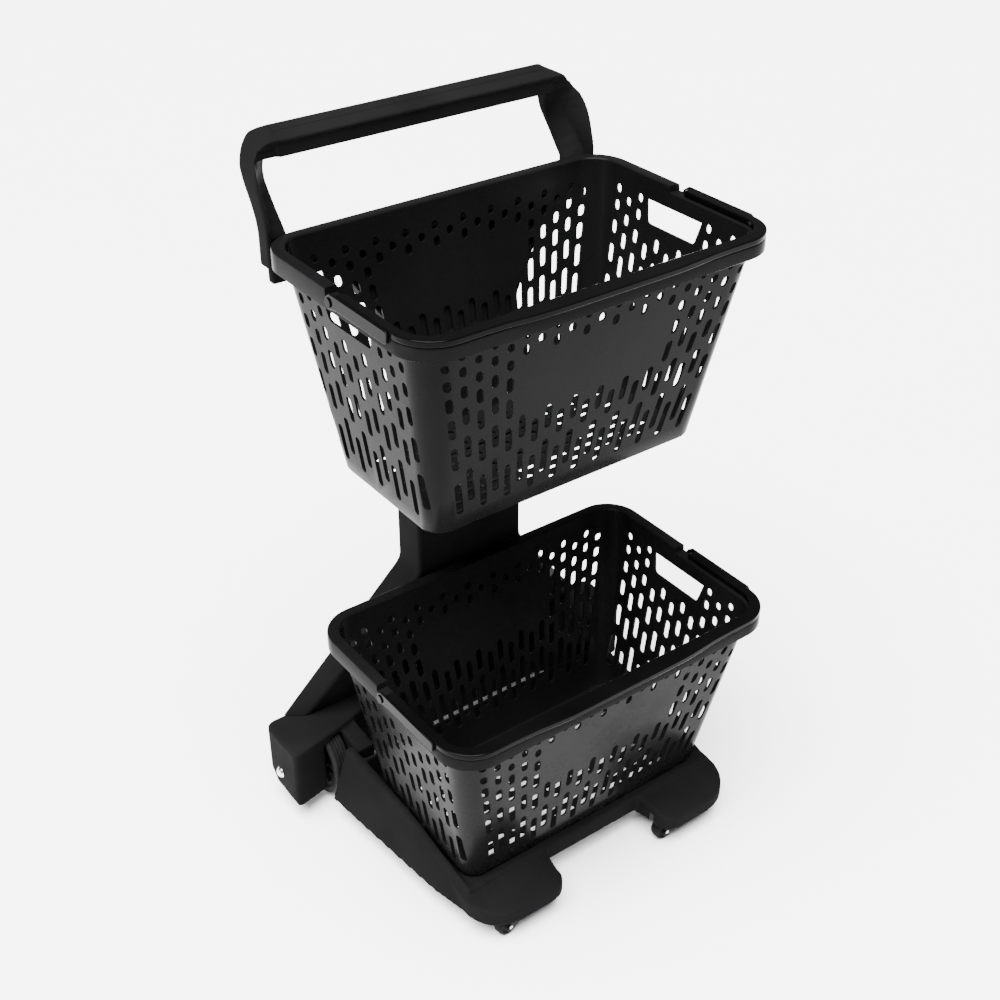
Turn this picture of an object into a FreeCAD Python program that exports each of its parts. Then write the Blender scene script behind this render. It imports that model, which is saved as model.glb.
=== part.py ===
import FreeCAD, Part
import math
import os
import Sketcher
from FreeCAD import Placement, Rotation, Vector

# Rolling basket trolley: a low U-shaped base on two rear wheels and two front
# castors, a column that leans back into a loop handle, and two lift-off
# perforated hand baskets, each with a folding bail.
# Millimetres.  +X is the trolley's right, +Y its rear (handle side), +Z up.
# Body coordinates have y = 0 at the middle of the lower basket; every body is
# then moved forward by mid_shift so that the origin is under the middle.

doc = FreeCAD.newDocument("basket_trolley")
sheet = doc.addObject("Spreadsheet::Sheet", "Sizes")

SIZES = [
    ("mid_shift", "-65"),
    # baskets
    ("rim_long", "500"), ("rim_wide", "328"), ("rim_corner", "49"),
    ("tub_tall", "279"), ("floor_long", "388"), ("floor_wide", "194"), ("floor_corner", "24"),
    ("mouth_long", "476"), ("mouth_wide", "306"), ("mouth_corner", "38"), ("wall_thick", "3"),
    ("cavity_long", "383"), ("cavity_wide", "190.4"), ("cavity_corner", "21"),
    ("cavity_mouth_long", "470"), ("cavity_mouth_wide", "300"), ("cavity_mouth_corner", "35"),
    ("rim_hole_long", "469"), ("rim_hole_wide", "298.2"), ("rim_hole_corner", "36"),
    ("raised_hole_long", "472"), ("raised_hole_wide", "302"),
    ("skirt_tall", "24"), ("bail_thick", "7.8"), ("rim_plate", "3"),
    ("lower_z", "65"), ("upper_z", "566"), ("upper_y", "60"),
    ("pivot_drop", "11"), ("pin_head_radius", "5.5"), ("pin_head_tall", "1.6"),
    ("hand_top_half", "50"), ("hand_low_half", "42"),
    ("hand_top_drop", "26"), ("hand_low_drop", "56"),
    # bails
    ("bail_reach", "164"), ("bail_grip_out", "170"), ("bail_inner", "147.5"), ("bail_in_half", "238"),
    ("bail_out_half", "250"), ("bail_cheek_in", "250.3"), ("bail_cheek_out", "253.5"),
    # base frame
    ("base_low", "31.5"), ("base_high", "122"), ("pad_high", "64.8"),
    ("house_half", "285"), ("house_front", "180"), ("house_back", "262"),
    ("well_in", "203"), ("well_out", "235"), ("well_front", "163.5"), ("well_radius", "61"),
    ("foot_in", "77"), ("foot_out", "213"), ("foot_front", "-165"), ("foot_corner", "52"),
    ("foot_high", "63"), ("foot_lip", "52"),
    ("cross_front", "-110"), ("cross_back", "-82"), ("cross_low", "38"),
    ("arm_inner", "178"), ("arm_wall_foot", "197"),
    ("panel_front", "128"), ("panel_back", "134"), ("panel_low", "50"), ("panel_high", "108"),
    ("panel_half", "205"),
    # column, yoke and handle
    ("column_half", "83.25"), ("column_front", "166"), ("column_back", "218.5"),
    ("column_low", "345"), ("column_top", "556"),
    ("yoke_beam_low", "784"), ("yoke_beam_high", "817"), ("yoke_beam_half", "230.5"),
    ("yoke_beam_front", "226"), ("yoke_beam_back", "238.8"), ("recess_bottom", "197.5"),
    ("loop_half", "237"), ("loop_in_half", "202"), ("loop_skin_half", "231"), ("loop_low", "806"),
    ("loop_seat", "836"), ("grip_low", "922"), ("bar_top", "950"), ("bar_back", "300"),
    ("loop_corner", "60"), ("bar_end_radius", "40"),
    # rolling parts
    ("axle_y", "225"), ("axle_z", "58.5"), ("axle_radius", "5"), ("axle_half", "289"),
    ("bush_radius", "8"), ("bush_flange", "11"), ("rear_wheel_radius", "58.5"), ("rear_wheel_in", "206"),
    ("rear_wheel_out", "232"), ("tyre_inner", "49"), ("hub_radius", "12"),
    ("castor_x", "136.5"), ("castor_y", "-141"), ("castor_trail", "35"), ("castor_radius", "15.2"),
    ("castor_half", "8"), ("boss_radius", "12"), ("boss_tall", "18"), ("stem_radius", "4.5"),
    ("sleeve_radius", "7"), ("pin_radius", "2.5"),
    ("left_castor_yaw", "185"), ("right_castor_yaw", "177"),
    ("run_gap", "0.05"),
]
for row, (alias, value) in enumerate(SIZES, start=1):
    sheet.set("A%d" % row, alias)
    sheet.set("B%d" % row, value)
    sheet.setAlias("B%d" % row, alias)
doc.recompute()

PARTS = []


def size(name):
    """Value of a sheet alias; a leading minus gives its negative, a number is itself."""
    if not isinstance(name, str):
        return float(name)
    if name.startswith("-"):
        return -float(sheet.get(name[1:]))
    return float(sheet.get(name))


def formula(name):
    """The expression that binds a property to an alias, or None for a number."""
    if not isinstance(name, str):
        return None
    return "-Sizes." + name[1:] if name.startswith("-") else "Sizes." + name


def keep(obj, label):
    obj.Label = label
    PARTS.append(obj)
    return obj


# ---------------------------------------------------------------- sketches

def new_body(name):
    return doc.addObject("PartDesign::Body", name + "_body")


def plane_of(body, role):
    for feature in body.Origin.OriginFeatures:
        if feature.Role == role:
            return feature


def new_sketch(body, name, role, offset=0.0):
    """A sketch on one of the body's own planes, moved along the plane's normal."""
    sketch = body.newObject("Sketcher::SketchObject", name)
    sketch.AttachmentSupport = [(plane_of(body, role), "")]
    sketch.MapMode = "FlatFace"
    sketch.AttachmentOffset = Placement(Vector(0, 0, size(offset)), Rotation())
    if formula(offset):
        sketch.setExpression(".AttachmentOffset.Base.z", formula(offset))
    return sketch


def pin_point(sketch, geo, which, along_x, along_y):
    """Fix one end point of a line at two sheet values."""
    for kind, axis, name in (("DistanceX", -2, along_x), ("DistanceY", -1, along_y)):
        if abs(size(name)) < 1e-9:
            sketch.addConstraint(Sketcher.Constraint("PointOnObject", geo, which, axis))
            continue
        index = sketch.addConstraint(Sketcher.Constraint(kind, -1, 1, geo, which, size(name)))
        if formula(name):
            sketch.setExpression("Constraints[%d]" % index, formula(name))


def polygon(sketch, points):
    """A closed outline of straight lines through points given as aliases or numbers."""
    first = sketch.GeometryCount
    here = [Vector(size(a), size(b), 0) for a, b in points]
    count = len(here)
    for k in range(count):
        sketch.addGeometry(Part.LineSegment(here[k], here[(k + 1) % count]), False)
    for k in range(count):
        after = first + (k + 1) % count
        sketch.addConstraint(Sketcher.Constraint("Coincident", first + k, 2, after, 1))
    for k, (a, b) in enumerate(points):
        pin_point(sketch, first + k, 1, a, b)


def rounded_box(sketch, long_name, wide_name, corner_name):
    """A centred rectangle with equal rounded corners, fully constrained."""
    half_x = size(long_name) / 2
    half_y = size(wide_name) / 2
    r = size(corner_name)
    g = sketch.GeometryCount
    quarter = math.pi / 2
    z_axis = Vector(0, 0, 1)
    corners = [(half_x - r, half_y - r, 0), (-half_x + r, half_y - r, 1),
               (-half_x + r, -half_y + r, 2), (half_x - r, -half_y + r, 3)]
    for cx, cy, turn in corners:
        circle = Part.Circle(Vector(cx, cy, 0), z_axis, r)
        sketch.addGeometry(Part.ArcOfCircle(circle, turn * quarter, (turn + 1) * quarter), False)
    ends = [((half_x - r, half_y), (-half_x + r, half_y)), ((-half_x, half_y - r), (-half_x, -half_y + r)),
            ((-half_x + r, -half_y), (half_x - r, -half_y)), ((half_x, -half_y + r), (half_x, half_y - r))]
    for start, end in ends:
        sketch.addGeometry(Part.LineSegment(Vector(start[0], start[1], 0), Vector(end[0], end[1], 0)), False)
    for k in range(4):
        line = g + 4 + k
        sketch.addConstraint(Sketcher.Constraint("Tangent", g + k, 2, line, 1))
        sketch.addConstraint(Sketcher.Constraint("Tangent", line, 2, g + (k + 1) % 4, 1))
        sketch.addConstraint(Sketcher.Constraint("Vertical" if k % 2 else "Horizontal", line))
    for k in range(1, 4):
        sketch.addConstraint(Sketcher.Constraint("Equal", g, g + k))
    radius = sketch.addConstraint(Sketcher.Constraint("Radius", g, r))
    across = sketch.addConstraint(Sketcher.Constraint("DistanceX", g + 5, 1, g + 7, 1, 2 * half_x))
    along = sketch.addConstraint(Sketcher.Constraint("DistanceY", g + 6, 1, g + 4, 1, 2 * half_y))
    sketch.addConstraint(Sketcher.Constraint("Symmetric", g, 3, g + 2, 3, -1, 1))
    for index, name in ((radius, corner_name), (across, long_name), (along, wide_name)):
        if formula(name):
            sketch.setExpression("Constraints[%d]" % index, formula(name))


# ---------------------------------------------------------------- features

def pad(body, sketch, length, both=False, back=False):
    feature = body.newObject("PartDesign::Pad", sketch.Name + "_pad")
    feature.Profile = sketch
    feature.Length = size(length)
    if formula(length):
        feature.setExpression("Length", formula(length))
    feature.Midplane = both
    feature.Reversed = back
    sketch.Visibility = False
    doc.recompute()
    return feature


def pocket(body, sketch, length, both=False, back=False):
    feature = body.newObject("PartDesign::Pocket", sketch.Name + "_pocket")
    feature.Profile = sketch
    feature.Length = size(length)
    if formula(length):
        feature.setExpression("Length", formula(length))
    feature.Midplane = both
    feature.Reversed = back
    doc.recompute()
    return feature


def loft(body, kind, sketches, ruled=True):
    feature = body.newObject("PartDesign::" + kind, sketches[0].Name + "_loft")
    feature.Profile = sketches[0]
    feature.Sections = sketches[1:]
    feature.Ruled = ruled
    doc.recompute()
    return feature


def turned(body, sketch):
    """Turn a half profile about the sketch's own horizontal axis."""
    feature = body.newObject("PartDesign::Revolution", sketch.Name + "_turned")
    feature.Profile = sketch
    feature.ReferenceAxis = (sketch, ["H_Axis"])
    feature.Angle = 360
    doc.recompute()
    return feature


def place(obj, x=0.0, y=0.0, z=0.0, shift=True, turn=None):
    """Place a body: x, y, z are aliases or numbers, y also takes the common shift."""
    rotation = turn if turn else Rotation()
    total_y = size(y) + (size("mid_shift") if shift else 0.0)
    obj.Placement = Placement(Vector(size(x), total_y, size(z)), rotation)
    parts_y = [text for text in (formula(y), formula("mid_shift") if shift else None) if text]
    if not formula(y) and size(y):
        parts_y.append("%g" % size(y))
    if parts_y:
        obj.setExpression(".Placement.Base.y", " + ".join(parts_y))
    if formula(x):
        obj.setExpression(".Placement.Base.x", formula(x))
    if formula(z):
        obj.setExpression(".Placement.Base.z", formula(z))


def rod(name, radius, length, x, y, z, turn, shift=True):
    """A plain cylinder starting at a point and pointing along the turned +Z."""
    tool = doc.addObject("Part::Cylinder", name)
    tool.Radius = size(radius)
    tool.Height = size(length)
    if formula(radius):
        tool.setExpression("Radius", formula(radius))
    if formula(length):
        tool.setExpression("Height", formula(length))
    place(tool, x, y, z, shift, turn)
    return tool


ALONG_X = Rotation(Vector(0, 1, 0), 90)
ALONG_Y = Rotation(Vector(1, 0, 0), -90)
ALONG_Z = Rotation()
AGAINST_X = Rotation(Vector(0, 1, 0), -90)
FORWARD = Rotation(Vector(1, 0, 0), 90)


def outward(side):
    """The turn that points a rod away from the middle on the given side."""
    return ALONG_X if side > 0 else AGAINST_X


def drilled(base, label, tools):
    """The base with a set of round tools cut out of it."""
    group = doc.addObject("Part::Compound", label + "_drills")
    group.Links = tools
    cut = doc.addObject("Part::Cut", label + "_cut")
    cut.Base = base
    cut.Tool = group
    doc.recompute()
    return keep(cut, label)


def screws(label, spots, turn, head_radius, head_tall, shank_radius, shank_long):
    """A group of identical pan-head screws; each spot is the underside of its head."""
    made = []
    for number, (x, y, z) in enumerate(spots):
        name = "%s_%d" % (label, number)
        into = turn.multVec(Vector(0, 0, 1))
        head = rod(name + "_head", head_radius, head_tall,
                   x - into.x * head_tall, y - into.y * head_tall, z - into.z * head_tall, turn)
        shank = rod(name + "_shank", shank_radius, shank_long, x, y, z, turn)
        joined = doc.addObject("Part::MultiFuse", name)
        joined.Shapes = [head, shank]
        made.append(joined)
    group = doc.addObject("Part::Compound", label + "_group")
    group.Links = made
    doc.recompute()
    return keep(group, label)


def screw_holes(label, spots, turn, shank_radius, shank_long):
    """Tight holes for a group of screws."""
    return [rod("%s_hole_%d" % (label, k), shank_radius + 0.02, shank_long + 1.0, x, y, z, turn)
            for k, (x, y, z) in enumerate(spots)]


def ring(label, outer, inner, length, x, y, z, turn):
    """A sleeve or washer."""
    solid = rod(label + "_outer", outer, length, x, y, z, turn)
    hole = rod(label + "_bore", inner, length, x, y, z, turn)
    cut = doc.addObject("Part::Cut", label + "_ring")
    cut.Base = solid
    cut.Tool = hole
    doc.recompute()
    return keep(cut, label)


def flanged_bush(label, side, x_face):
    """A nylon bush pressed into a wall, its flange on the wheel side."""
    inner_bush = x_face < size("rear_wheel_in")
    wall = 7.2 if inner_bush else 4.0
    to_wheel = side if inner_bush else -side
    start = side * x_face
    flange_turn = outward(to_wheel)
    sleeve_turn = outward(-to_wheel)
    flange = rod(label + "_flange", "bush_flange", 1.5, start, "axle_y", "axle_z", flange_turn)
    sleeve = rod(label + "_sleeve", "bush_radius", wall, start, "axle_y", "axle_z", sleeve_turn)
    bore = rod(label + "_bore", size("axle_radius") + 0.02, wall + 2.0, start + to_wheel * 1.75,
               "axle_y", "axle_z", sleeve_turn)
    both = doc.addObject("Part::MultiFuse", label + "_both")
    both.Shapes = [flange, sleeve]
    cut = doc.addObject("Part::Cut", label + "_cut")
    cut.Base = both
    cut.Tool = bore
    doc.recompute()
    return keep(cut, label)


# ---------------------------------------------------------------- base frame

# where each screw's head sits
COLUMN_SCREWS = [(x, 240.0, 118.0) for x in (-120.0, 120.0, -50.0, 50.0)]
SHELF_SCREWS = [(x, 161.0, z) for x in (-45.0, 45.0) for z in (505.0, 535.0)]
YOKE_SCREWS = [(x, 218.5, 545.0) for x in (-55.0, 55.0)]
LOOP_SCREWS = [(x, 249.0, 820.0) for x in (-223.0, -211.0, 211.0, 223.0)]
# head radius, head height
COLUMN_HEAD = (6.0, 3.0)
SHELF_HEAD = (5.0, 2.6)
YOKE_HEAD = (5.0, 2.6)
LOOP_HEAD = (4.5, 2.4)
# shank radius, shank length
COLUMN_SHANK = (3.0, 22.0)
SHELF_SHANK = (2.5, 12.0)
YOKE_SHANK = (2.5, 20.0)
LOOP_SHANK = (2.0, 20.0)


# y, foot of the outer face, ridge outer and inner edge, ridge height
ARM_LEVELS = ((-110.0, 213.0, 206.0, 201.5, 66.0), (-60.0, 223.0, 208.5, 203.0, 80.0),
              (0.0, 228.0, 210.0, 203.8, 95.0), (100.0, 237.0, 213.0, 204.5, 107.0),
              (162.0, 242.0, 217.0, 207.0, 110.5))


def arm_section(body, side, y, low_out, ridge_out, ridge_in, ridge_high):
    """One upright slice of a side arm: sloped outer face, ridge, inner wall and ledge."""
    sketch = new_sketch(body, "arm_%s_%d" % ("right" if side > 0 else "left", int(y + 500)), "XZ_Plane", -y)
    inner, wall_foot = side * size("arm_inner"), side * size("arm_wall_foot")
    polygon(sketch, [(inner, "base_low"), (side * low_out, "base_low"), (side * ridge_out, ridge_high),
                     (side * ridge_in, ridge_high), (wall_foot, "pad_high"), (inner, "pad_high")])
    return sketch


def arm_root(body, side):
    """Thick inner wall that joins an arm to the rear beam on the basket's side of the wheel."""
    root = new_sketch(body, "arm_root_%d" % (side + 1), "YZ_Plane", side * size("arm_inner"))
    polygon(root, [(150, "base_low"), (214, "base_low"), (214, 118), (190, 112), (150, 108)])
    pad(body, root, size("well_in") - size("arm_inner"), back=side < 0)


def base_frame():
    """Rear beam with two wheel housings, two side arms, feet and front cross member."""
    body = new_body("base_frame")
    plan = new_sketch(body, "beam_plan", "XY_Plane", "base_low")
    polygon(plan, [("-house_half", "house_front"), (-225, 189), (-198, 194), (-150, 212), (150, 212),
                   (198, 194), (225, 189), ("house_half", "house_front"), ("house_half", "house_back"),
                   ("-house_half", "house_back")])
    pad(body, plan, size("base_high") - size("base_low"))
    under = new_sketch(body, "beam_underside", "YZ_Plane", 0.0)
    polygon(under, [(170, 10), (275, 10), (275, 60), (238, 34), ("house_front", "base_low"), (170, "base_low")])
    pocket(body, under, 700, both=True)
    inside = new_sketch(body, "beam_hollow", "XY_Plane", 10.0)
    polygon(inside, [(-172, 217), (172, 217), (172, 258), (-172, 258)])
    pocket(body, inside, 108.0, back=True)
    for side in (-1, 1):
        slices = [arm_section(body, side, *level) for level in ARM_LEVELS]
        loft(body, "AdditiveLoft", slices)
        arm_root(body, side)
        foot = new_sketch(body, "foot_plan_%d" % (side + 1), "XY_Plane", "base_low")
        r = size("foot_corner")
        inner, outer = size("foot_in"), size("foot_out")
        front, rear = size("foot_front"), -80.0
        cut = r * (1.0 - math.sqrt(0.5))
        polygon(foot, [(side * inner, rear), (side * inner, front + r * 0.55), (side * (inner + 6), front + 12),
                       (side * (inner + 24), front), (side * (outer - r), front),
                       (side * (outer - r + r * 0.38), front + r * 0.08), (side * (outer - cut), front + cut),
                       (side * (outer - r * 0.08), front + r * 0.62), (side * outer, front + r),
                       (side * outer, rear)])
        pad(body, foot, size("foot_high") - size("base_low"))
    slope = new_sketch(body, "foot_slope", "YZ_Plane", 0.0)
    polygon(slope, [(-175, "foot_lip"), ("foot_front", "foot_lip"), (-156, 57), (-100, "foot_high"),
                    (-100, 90), (-175, 90)])
    pocket(body, slope, 700, both=True)
    cross = new_sketch(body, "cross_plan", "XY_Plane", "cross_low")
    polygon(cross, [(-184, "cross_front"), (184, "cross_front"), (184, "cross_back"), (-184, "cross_back")])
    pad(body, cross, size("pad_high") - size("cross_low"))
    panel = new_sketch(body, "rear_panel", "XY_Plane", "panel_low")
    polygon(panel, [("-panel_half", "panel_front"), ("panel_half", "panel_front"),
                    ("panel_half", "panel_back"), ("-panel_half", "panel_back")])
    pad(body, panel, size("panel_high") - size("panel_low"))
    for side in (-1, 1):
        well = new_sketch(body, "wheel_well_%d" % (side + 1), "YZ_Plane", side * size("well_in"))
        arch = [(size("axle_y") + size("well_radius") * math.cos(math.radians(a)),
                 size("axle_z") + size("well_radius") * math.sin(math.radians(a))) for a in range(0, 181, 12)]
        polygon(well, arch + [("well_front", 10), (size("axle_y") + size("well_radius"), 10)])
        pocket(body, well, size("well_out") - size("well_in"), back=side > 0)
        hollow = new_sketch(body, "housing_hollow_%d" % (side + 1), "XY_Plane", 0.0)
        polygon(hollow, [(side * 239, 192), (side * 281, 185), (side * 281, 258), (side * 239, 258)])
        pocket(body, hollow, 117.0, back=True)
        shell = new_sketch(body, "foot_hollow_%d" % (side + 1), "XY_Plane", 0.0)
        polygon(shell, [(side * 84, -84), (side * 84, -134), (side * 102, -158), (side * 162, -158),
                        (side * 196, -138), (side * 206, -114), (side * 206, -84)])
        pocket(body, shell, 46.0, back=True)
        boss = new_sketch(body, "castor_boss_%d" % (side + 1), "XY_Plane", "base_low")
        boss_centre = Vector(side * size("castor_x"), size("castor_y"), 0)
        boss.addGeometry(Part.Circle(boss_centre, Vector(0, 0, 1), size("boss_radius")))
        pad(body, boss, "boss_tall")
    place(body)
    axle = [rod("axle_bore", "bush_radius", 600, -300, "axle_y", "axle_z", ALONG_X)]
    sockets = [rod("socket_%d" % (side + 1), "sleeve_radius", 20.5, side * size("castor_x"), "castor_y", 31.4,
                   ALONG_Z) for side in (-1, 1)]
    holes = screw_holes("column_screws", COLUMN_SCREWS, ALONG_Z, *COLUMN_SHANK)
    return drilled(body, "base_frame", axle + sockets + holes)


# ---------------------------------------------------------------- column, yoke, shelf, handle

def column():
    """Hollow upright: a panel that flares down to the rear beam, then a box section."""
    body = new_body("column")
    wall = 4.0
    # height, front half width, back half width, front, back
    levels = [(size("base_high"), 232.0, 262.0, 240.0, 261.5), (330.0, 86.0, 92.0, 170.0, 218.0),
              (size("column_low"), size("column_half"), size("column_half"), size("column_front"),
               size("column_back"))]
    outer = []
    inner = []
    for number, (z, front_half, back_half, front, back) in enumerate(levels):
        sketch = new_sketch(body, "flare_%d" % number, "XY_Plane", z)
        polygon(sketch, [(-front_half, front), (front_half, front), (back_half, back), (-back_half, back)])
        outer.append(sketch)
    loft(body, "AdditiveLoft", outer)
    shaft = new_sketch(body, "shaft", "XY_Plane", "column_low")
    polygon(shaft, [("-column_half", "column_front"), ("column_half", "column_front"),
                    ("column_half", "column_back"), ("-column_half", "column_back")])
    pad(body, shaft, size("column_top") - size("column_low"))
    for number, (z, front_half, back_half, front, back) in enumerate(levels):
        sketch = new_sketch(body, "flare_hollow_%d" % number, "XY_Plane", z + (wall if number == 0 else 0.0))
        polygon(sketch, [(wall - front_half, front + wall), (front_half - wall, front + wall),
                         (back_half - wall, back - wall), (wall - back_half, back - wall)])
        inner.append(sketch)
    loft(body, "SubtractiveLoft", inner)
    bore = new_sketch(body, "shaft_hollow", "XY_Plane", "column_low")
    half = size("column_half") - wall
    front, back = size("column_front") + wall, size("column_back") - wall
    polygon(bore, [(-half, front), (half, front), (half, back), (-half, back)])
    pocket(body, bore, size("column_top") - size("column_low") + 1.0, back=True)
    place(body)
    holes = screw_holes("column_screws", COLUMN_SCREWS, ALONG_Z, *COLUMN_SHANK)
    holes += screw_holes("yoke_screws_c", YOKE_SCREWS, FORWARD, *YOKE_SHANK)
    holes += screw_holes("shelf_screws_b", SHELF_SCREWS, ALONG_Y, *SHELF_SHANK)
    return drilled(body, "column", holes)


def yoke():
    """Leaning back frame from the column's top up to the handle's cross beam, hollow behind."""
    body = new_body("yoke")
    levels = [(556.05, 83.0, 159.5, 212.0), (700.0, 92.0, 187.0, 226.0), (786.0, 150.0, 206.0, 243.0),
              (805.0, 185.0, 210.5, 245.0)]
    slices = []
    for number, (z, half, front, back) in enumerate(levels):
        sketch = new_sketch(body, "yoke_slice_%d" % number, "XY_Plane", z)
        polygon(sketch, [(-half, front), (half, front), (half, back), (-half, back)])
        slices.append(sketch)
    loft(body, "AdditiveLoft", slices)
    beam = new_sketch(body, "yoke_beam", "XY_Plane", "yoke_beam_low")
    polygon(beam, [("-yoke_beam_half", "yoke_beam_front"), ("yoke_beam_half", "yoke_beam_front"),
                   ("yoke_beam_half", "yoke_beam_back"), ("-yoke_beam_half", "yoke_beam_back")])
    pad(body, beam, size("yoke_beam_high") - size("yoke_beam_low"))
    for side in (-1, 1):
        tab = new_sketch(body, "yoke_tab_%d" % (side + 1), "XY_Plane", "yoke_beam_high")
        polygon(tab, [(side * 204.0, "yoke_beam_front"), (side * 230.5, "yoke_beam_front"),
                      (side * 230.5, "yoke_beam_back"), (side * 204.0, "yoke_beam_back")])
        pad(body, tab, 17.0)
    plug = new_sketch(body, "yoke_plug", "XY_Plane", 530.0)
    polygon(plug, [(-79.1, 170.2), (79.1, 170.2), (79.1, 214.3), (-79.1, 214.3)])
    pad(body, plug, 27.0)
    recess = new_sketch(body, "yoke_recess", "XZ_Plane", "-recess_bottom")
    polygon(recess, [(-64, 590), (64, 590), (80, 730), (-80, 730)])
    pocket(body, recess, 60.0)
    place(body)
    holes = screw_holes("loop_screws_b", LOOP_SCREWS, FORWARD, *LOOP_SHANK)
    holes += screw_holes("yoke_screws_b", YOKE_SCREWS, FORWARD, *YOKE_SHANK)
    holes += screw_holes("shelf_screws_c", SHELF_SCREWS, ALONG_Y, *SHELF_SHANK)
    return drilled(body, "yoke", holes)


def basket_shelf():
    """Bracket on the column's front that carries the upper basket's floor."""
    body = new_body("basket_shelf")
    side = new_sketch(body, "shelf_side", "YZ_Plane", 0.0)
    polygon(side, [("column_front", 556), (158.2, 556), (158.2, 565.8), (30, 565.8), (30, 560), (152, 545),
                   (161, 490), ("column_front", 490)])
    pad(body, side, 150.0, both=True)
    slot = new_sketch(body, "shelf_hollow", "YZ_Plane", 0.0)
    polygon(slot, [(20, 500), (161, 500), (161, 548), (146, 561.5), (20, 561.5)])
    pocket(body, slot, 140.0, both=True)
    place(body)
    return drilled(body, "basket_shelf", screw_holes("shelf_screws", SHELF_SCREWS, ALONG_Y, *SHELF_SHANK))


def post_section(body, side, z, skin_front, skin_back, web_half, web, inner_front, inner_back):
    """One level slice of a handle post: an outer skin and a web set back between skin and opening."""
    sketch = new_sketch(body, "post_%d_%d" % (side + 1, int(z)), "XY_Plane", z)
    outer, skin, inner = size("loop_half"), size("loop_skin_half"), size("loop_in_half")
    polygon(sketch, [(side * outer, skin_front), (side * outer, skin_back),
                     (side * (inner + 5.0), inner_back + 2.0), (side * inner, inner_back),
                     (side * inner, inner_front), (side * web_half, web), (side * skin, skin_front + 0.5)])
    return sketch


def loop_seat(body, side):
    """Socket at the foot of a post: outer skin and the back plate behind the yoke's tab."""
    seat = new_sketch(body, "seat_%d" % (side + 1), "XY_Plane", "loop_low")
    outer, skin, inner = size("loop_half"), size("loop_skin_half"), size("loop_in_half")
    polygon(seat, [(side * outer, 219.0), (side * outer, 240.0), (side * (outer - 8.0), 249.0),
                   (side * inner, 249.0), (side * inner, 239.0), (side * skin, 239.0), (side * skin, 219.0)])
    pad(body, seat, size("loop_seat") - size("loop_low"))


def handle_loop():
    """Loop handle: two posts with set-back webs and a deep ridged grip bar across the top."""
    body = new_body("handle_loop")
    bar = new_sketch(body, "bar_profile", "YZ_Plane", 0.0)
    polygon(bar, [(252, "grip_low"), (252, 939), (253, 940.5), (265, 945.5), (279, "bar_top"), (284, 949),
                  (296, 943), ("bar_back", 936), ("bar_back", "grip_low")])
    pad(body, bar, 2 * size("loop_half"), both=True)
    # height, skin front, skin back, web half width, web, inner edge front, inner edge back
    posts = [(836, 219.0, 240.0, 229, 229, 235, 246), (850, 219.0, 240.5, 228, 236, 247, 258),
             (860, 221.0, 242.5, 226, 243, 256, 266), (870, 224.0, 246.0, 224, 250, 264, 274),
             (880, 227.0, 251.0, 222, 257, 272, 283), (890, 231.0, 256.5, 221, 261, 279, 291),
             (900, 236.0, 262.0, 221, 260, 281, 295), (910, 241.0, 266.0, 221, 258, 280, 297),
             (931, 250.5, 269.0, 221, 257, 276, 297)]
    for side in (-1, 1):
        recess = new_sketch(body, "bar_recess_%d" % (side + 1), "YZ_Plane", side * 192.0)
        polygon(recess, [(240, 900), (257, 900), (257, 931), (240, 931)])
        pocket(body, recess, 39.0, back=side > 0)
        loft(body, "AdditiveLoft", [post_section(body, side, *level) for level in posts])
        loop_seat(body, side)
        gusset = new_sketch(body, "gusset_%d" % (side + 1), "XZ_Plane", -262.0)
        inner = size("loop_in_half")
        low = size("grip_low")
        polygon(gusset, [(side * (inner + 1), low + 1), (side * (inner - 16), low + 1),
                         (side * (inner - 6), low - 7), (side * inner, low - 18), (side * (inner + 1), low - 18)])
        pad(body, gusset, 34.0, back=True)
        corner = new_sketch(body, "loop_corner_%d" % (side + 1), "XZ_Plane", 0.0)
        half, r, top = size("loop_half"), size("loop_corner"), size("bar_top")
        bend = [(side * (half - r + r * math.cos(math.radians(a))), top - r + r * math.sin(math.radians(a)))
                for a in range(0, 91, 15)]
        polygon(corner, bend + [(side * (half - r), top + 8), (side * (half + 8), top + 8),
                                (side * (half + 8), top - r)])
        pocket(body, corner, 700, both=True)
        back_corner = new_sketch(body, "bar_end_%d" % (side + 1), "XY_Plane", 860.0)
        rear = size("bar_back")
        r = size("bar_end_radius")
        sweep = [(side * (half - r + r * math.cos(math.radians(a))), rear - r + r * math.sin(math.radians(a)))
                 for a in range(0, 91, 15)]
        polygon(back_corner, sweep + [(side * (half - r), rear + 8), (side * (half + 8), rear + 8),
                                      (side * (half + 8), rear - r)])
        pocket(body, back_corner, 120.0, back=True)
    place(body)
    return drilled(body, "handle_loop", screw_holes("loop_screws", LOOP_SCREWS, FORWARD, *LOOP_SHANK))


# ---------------------------------------------------------------- baskets

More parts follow.
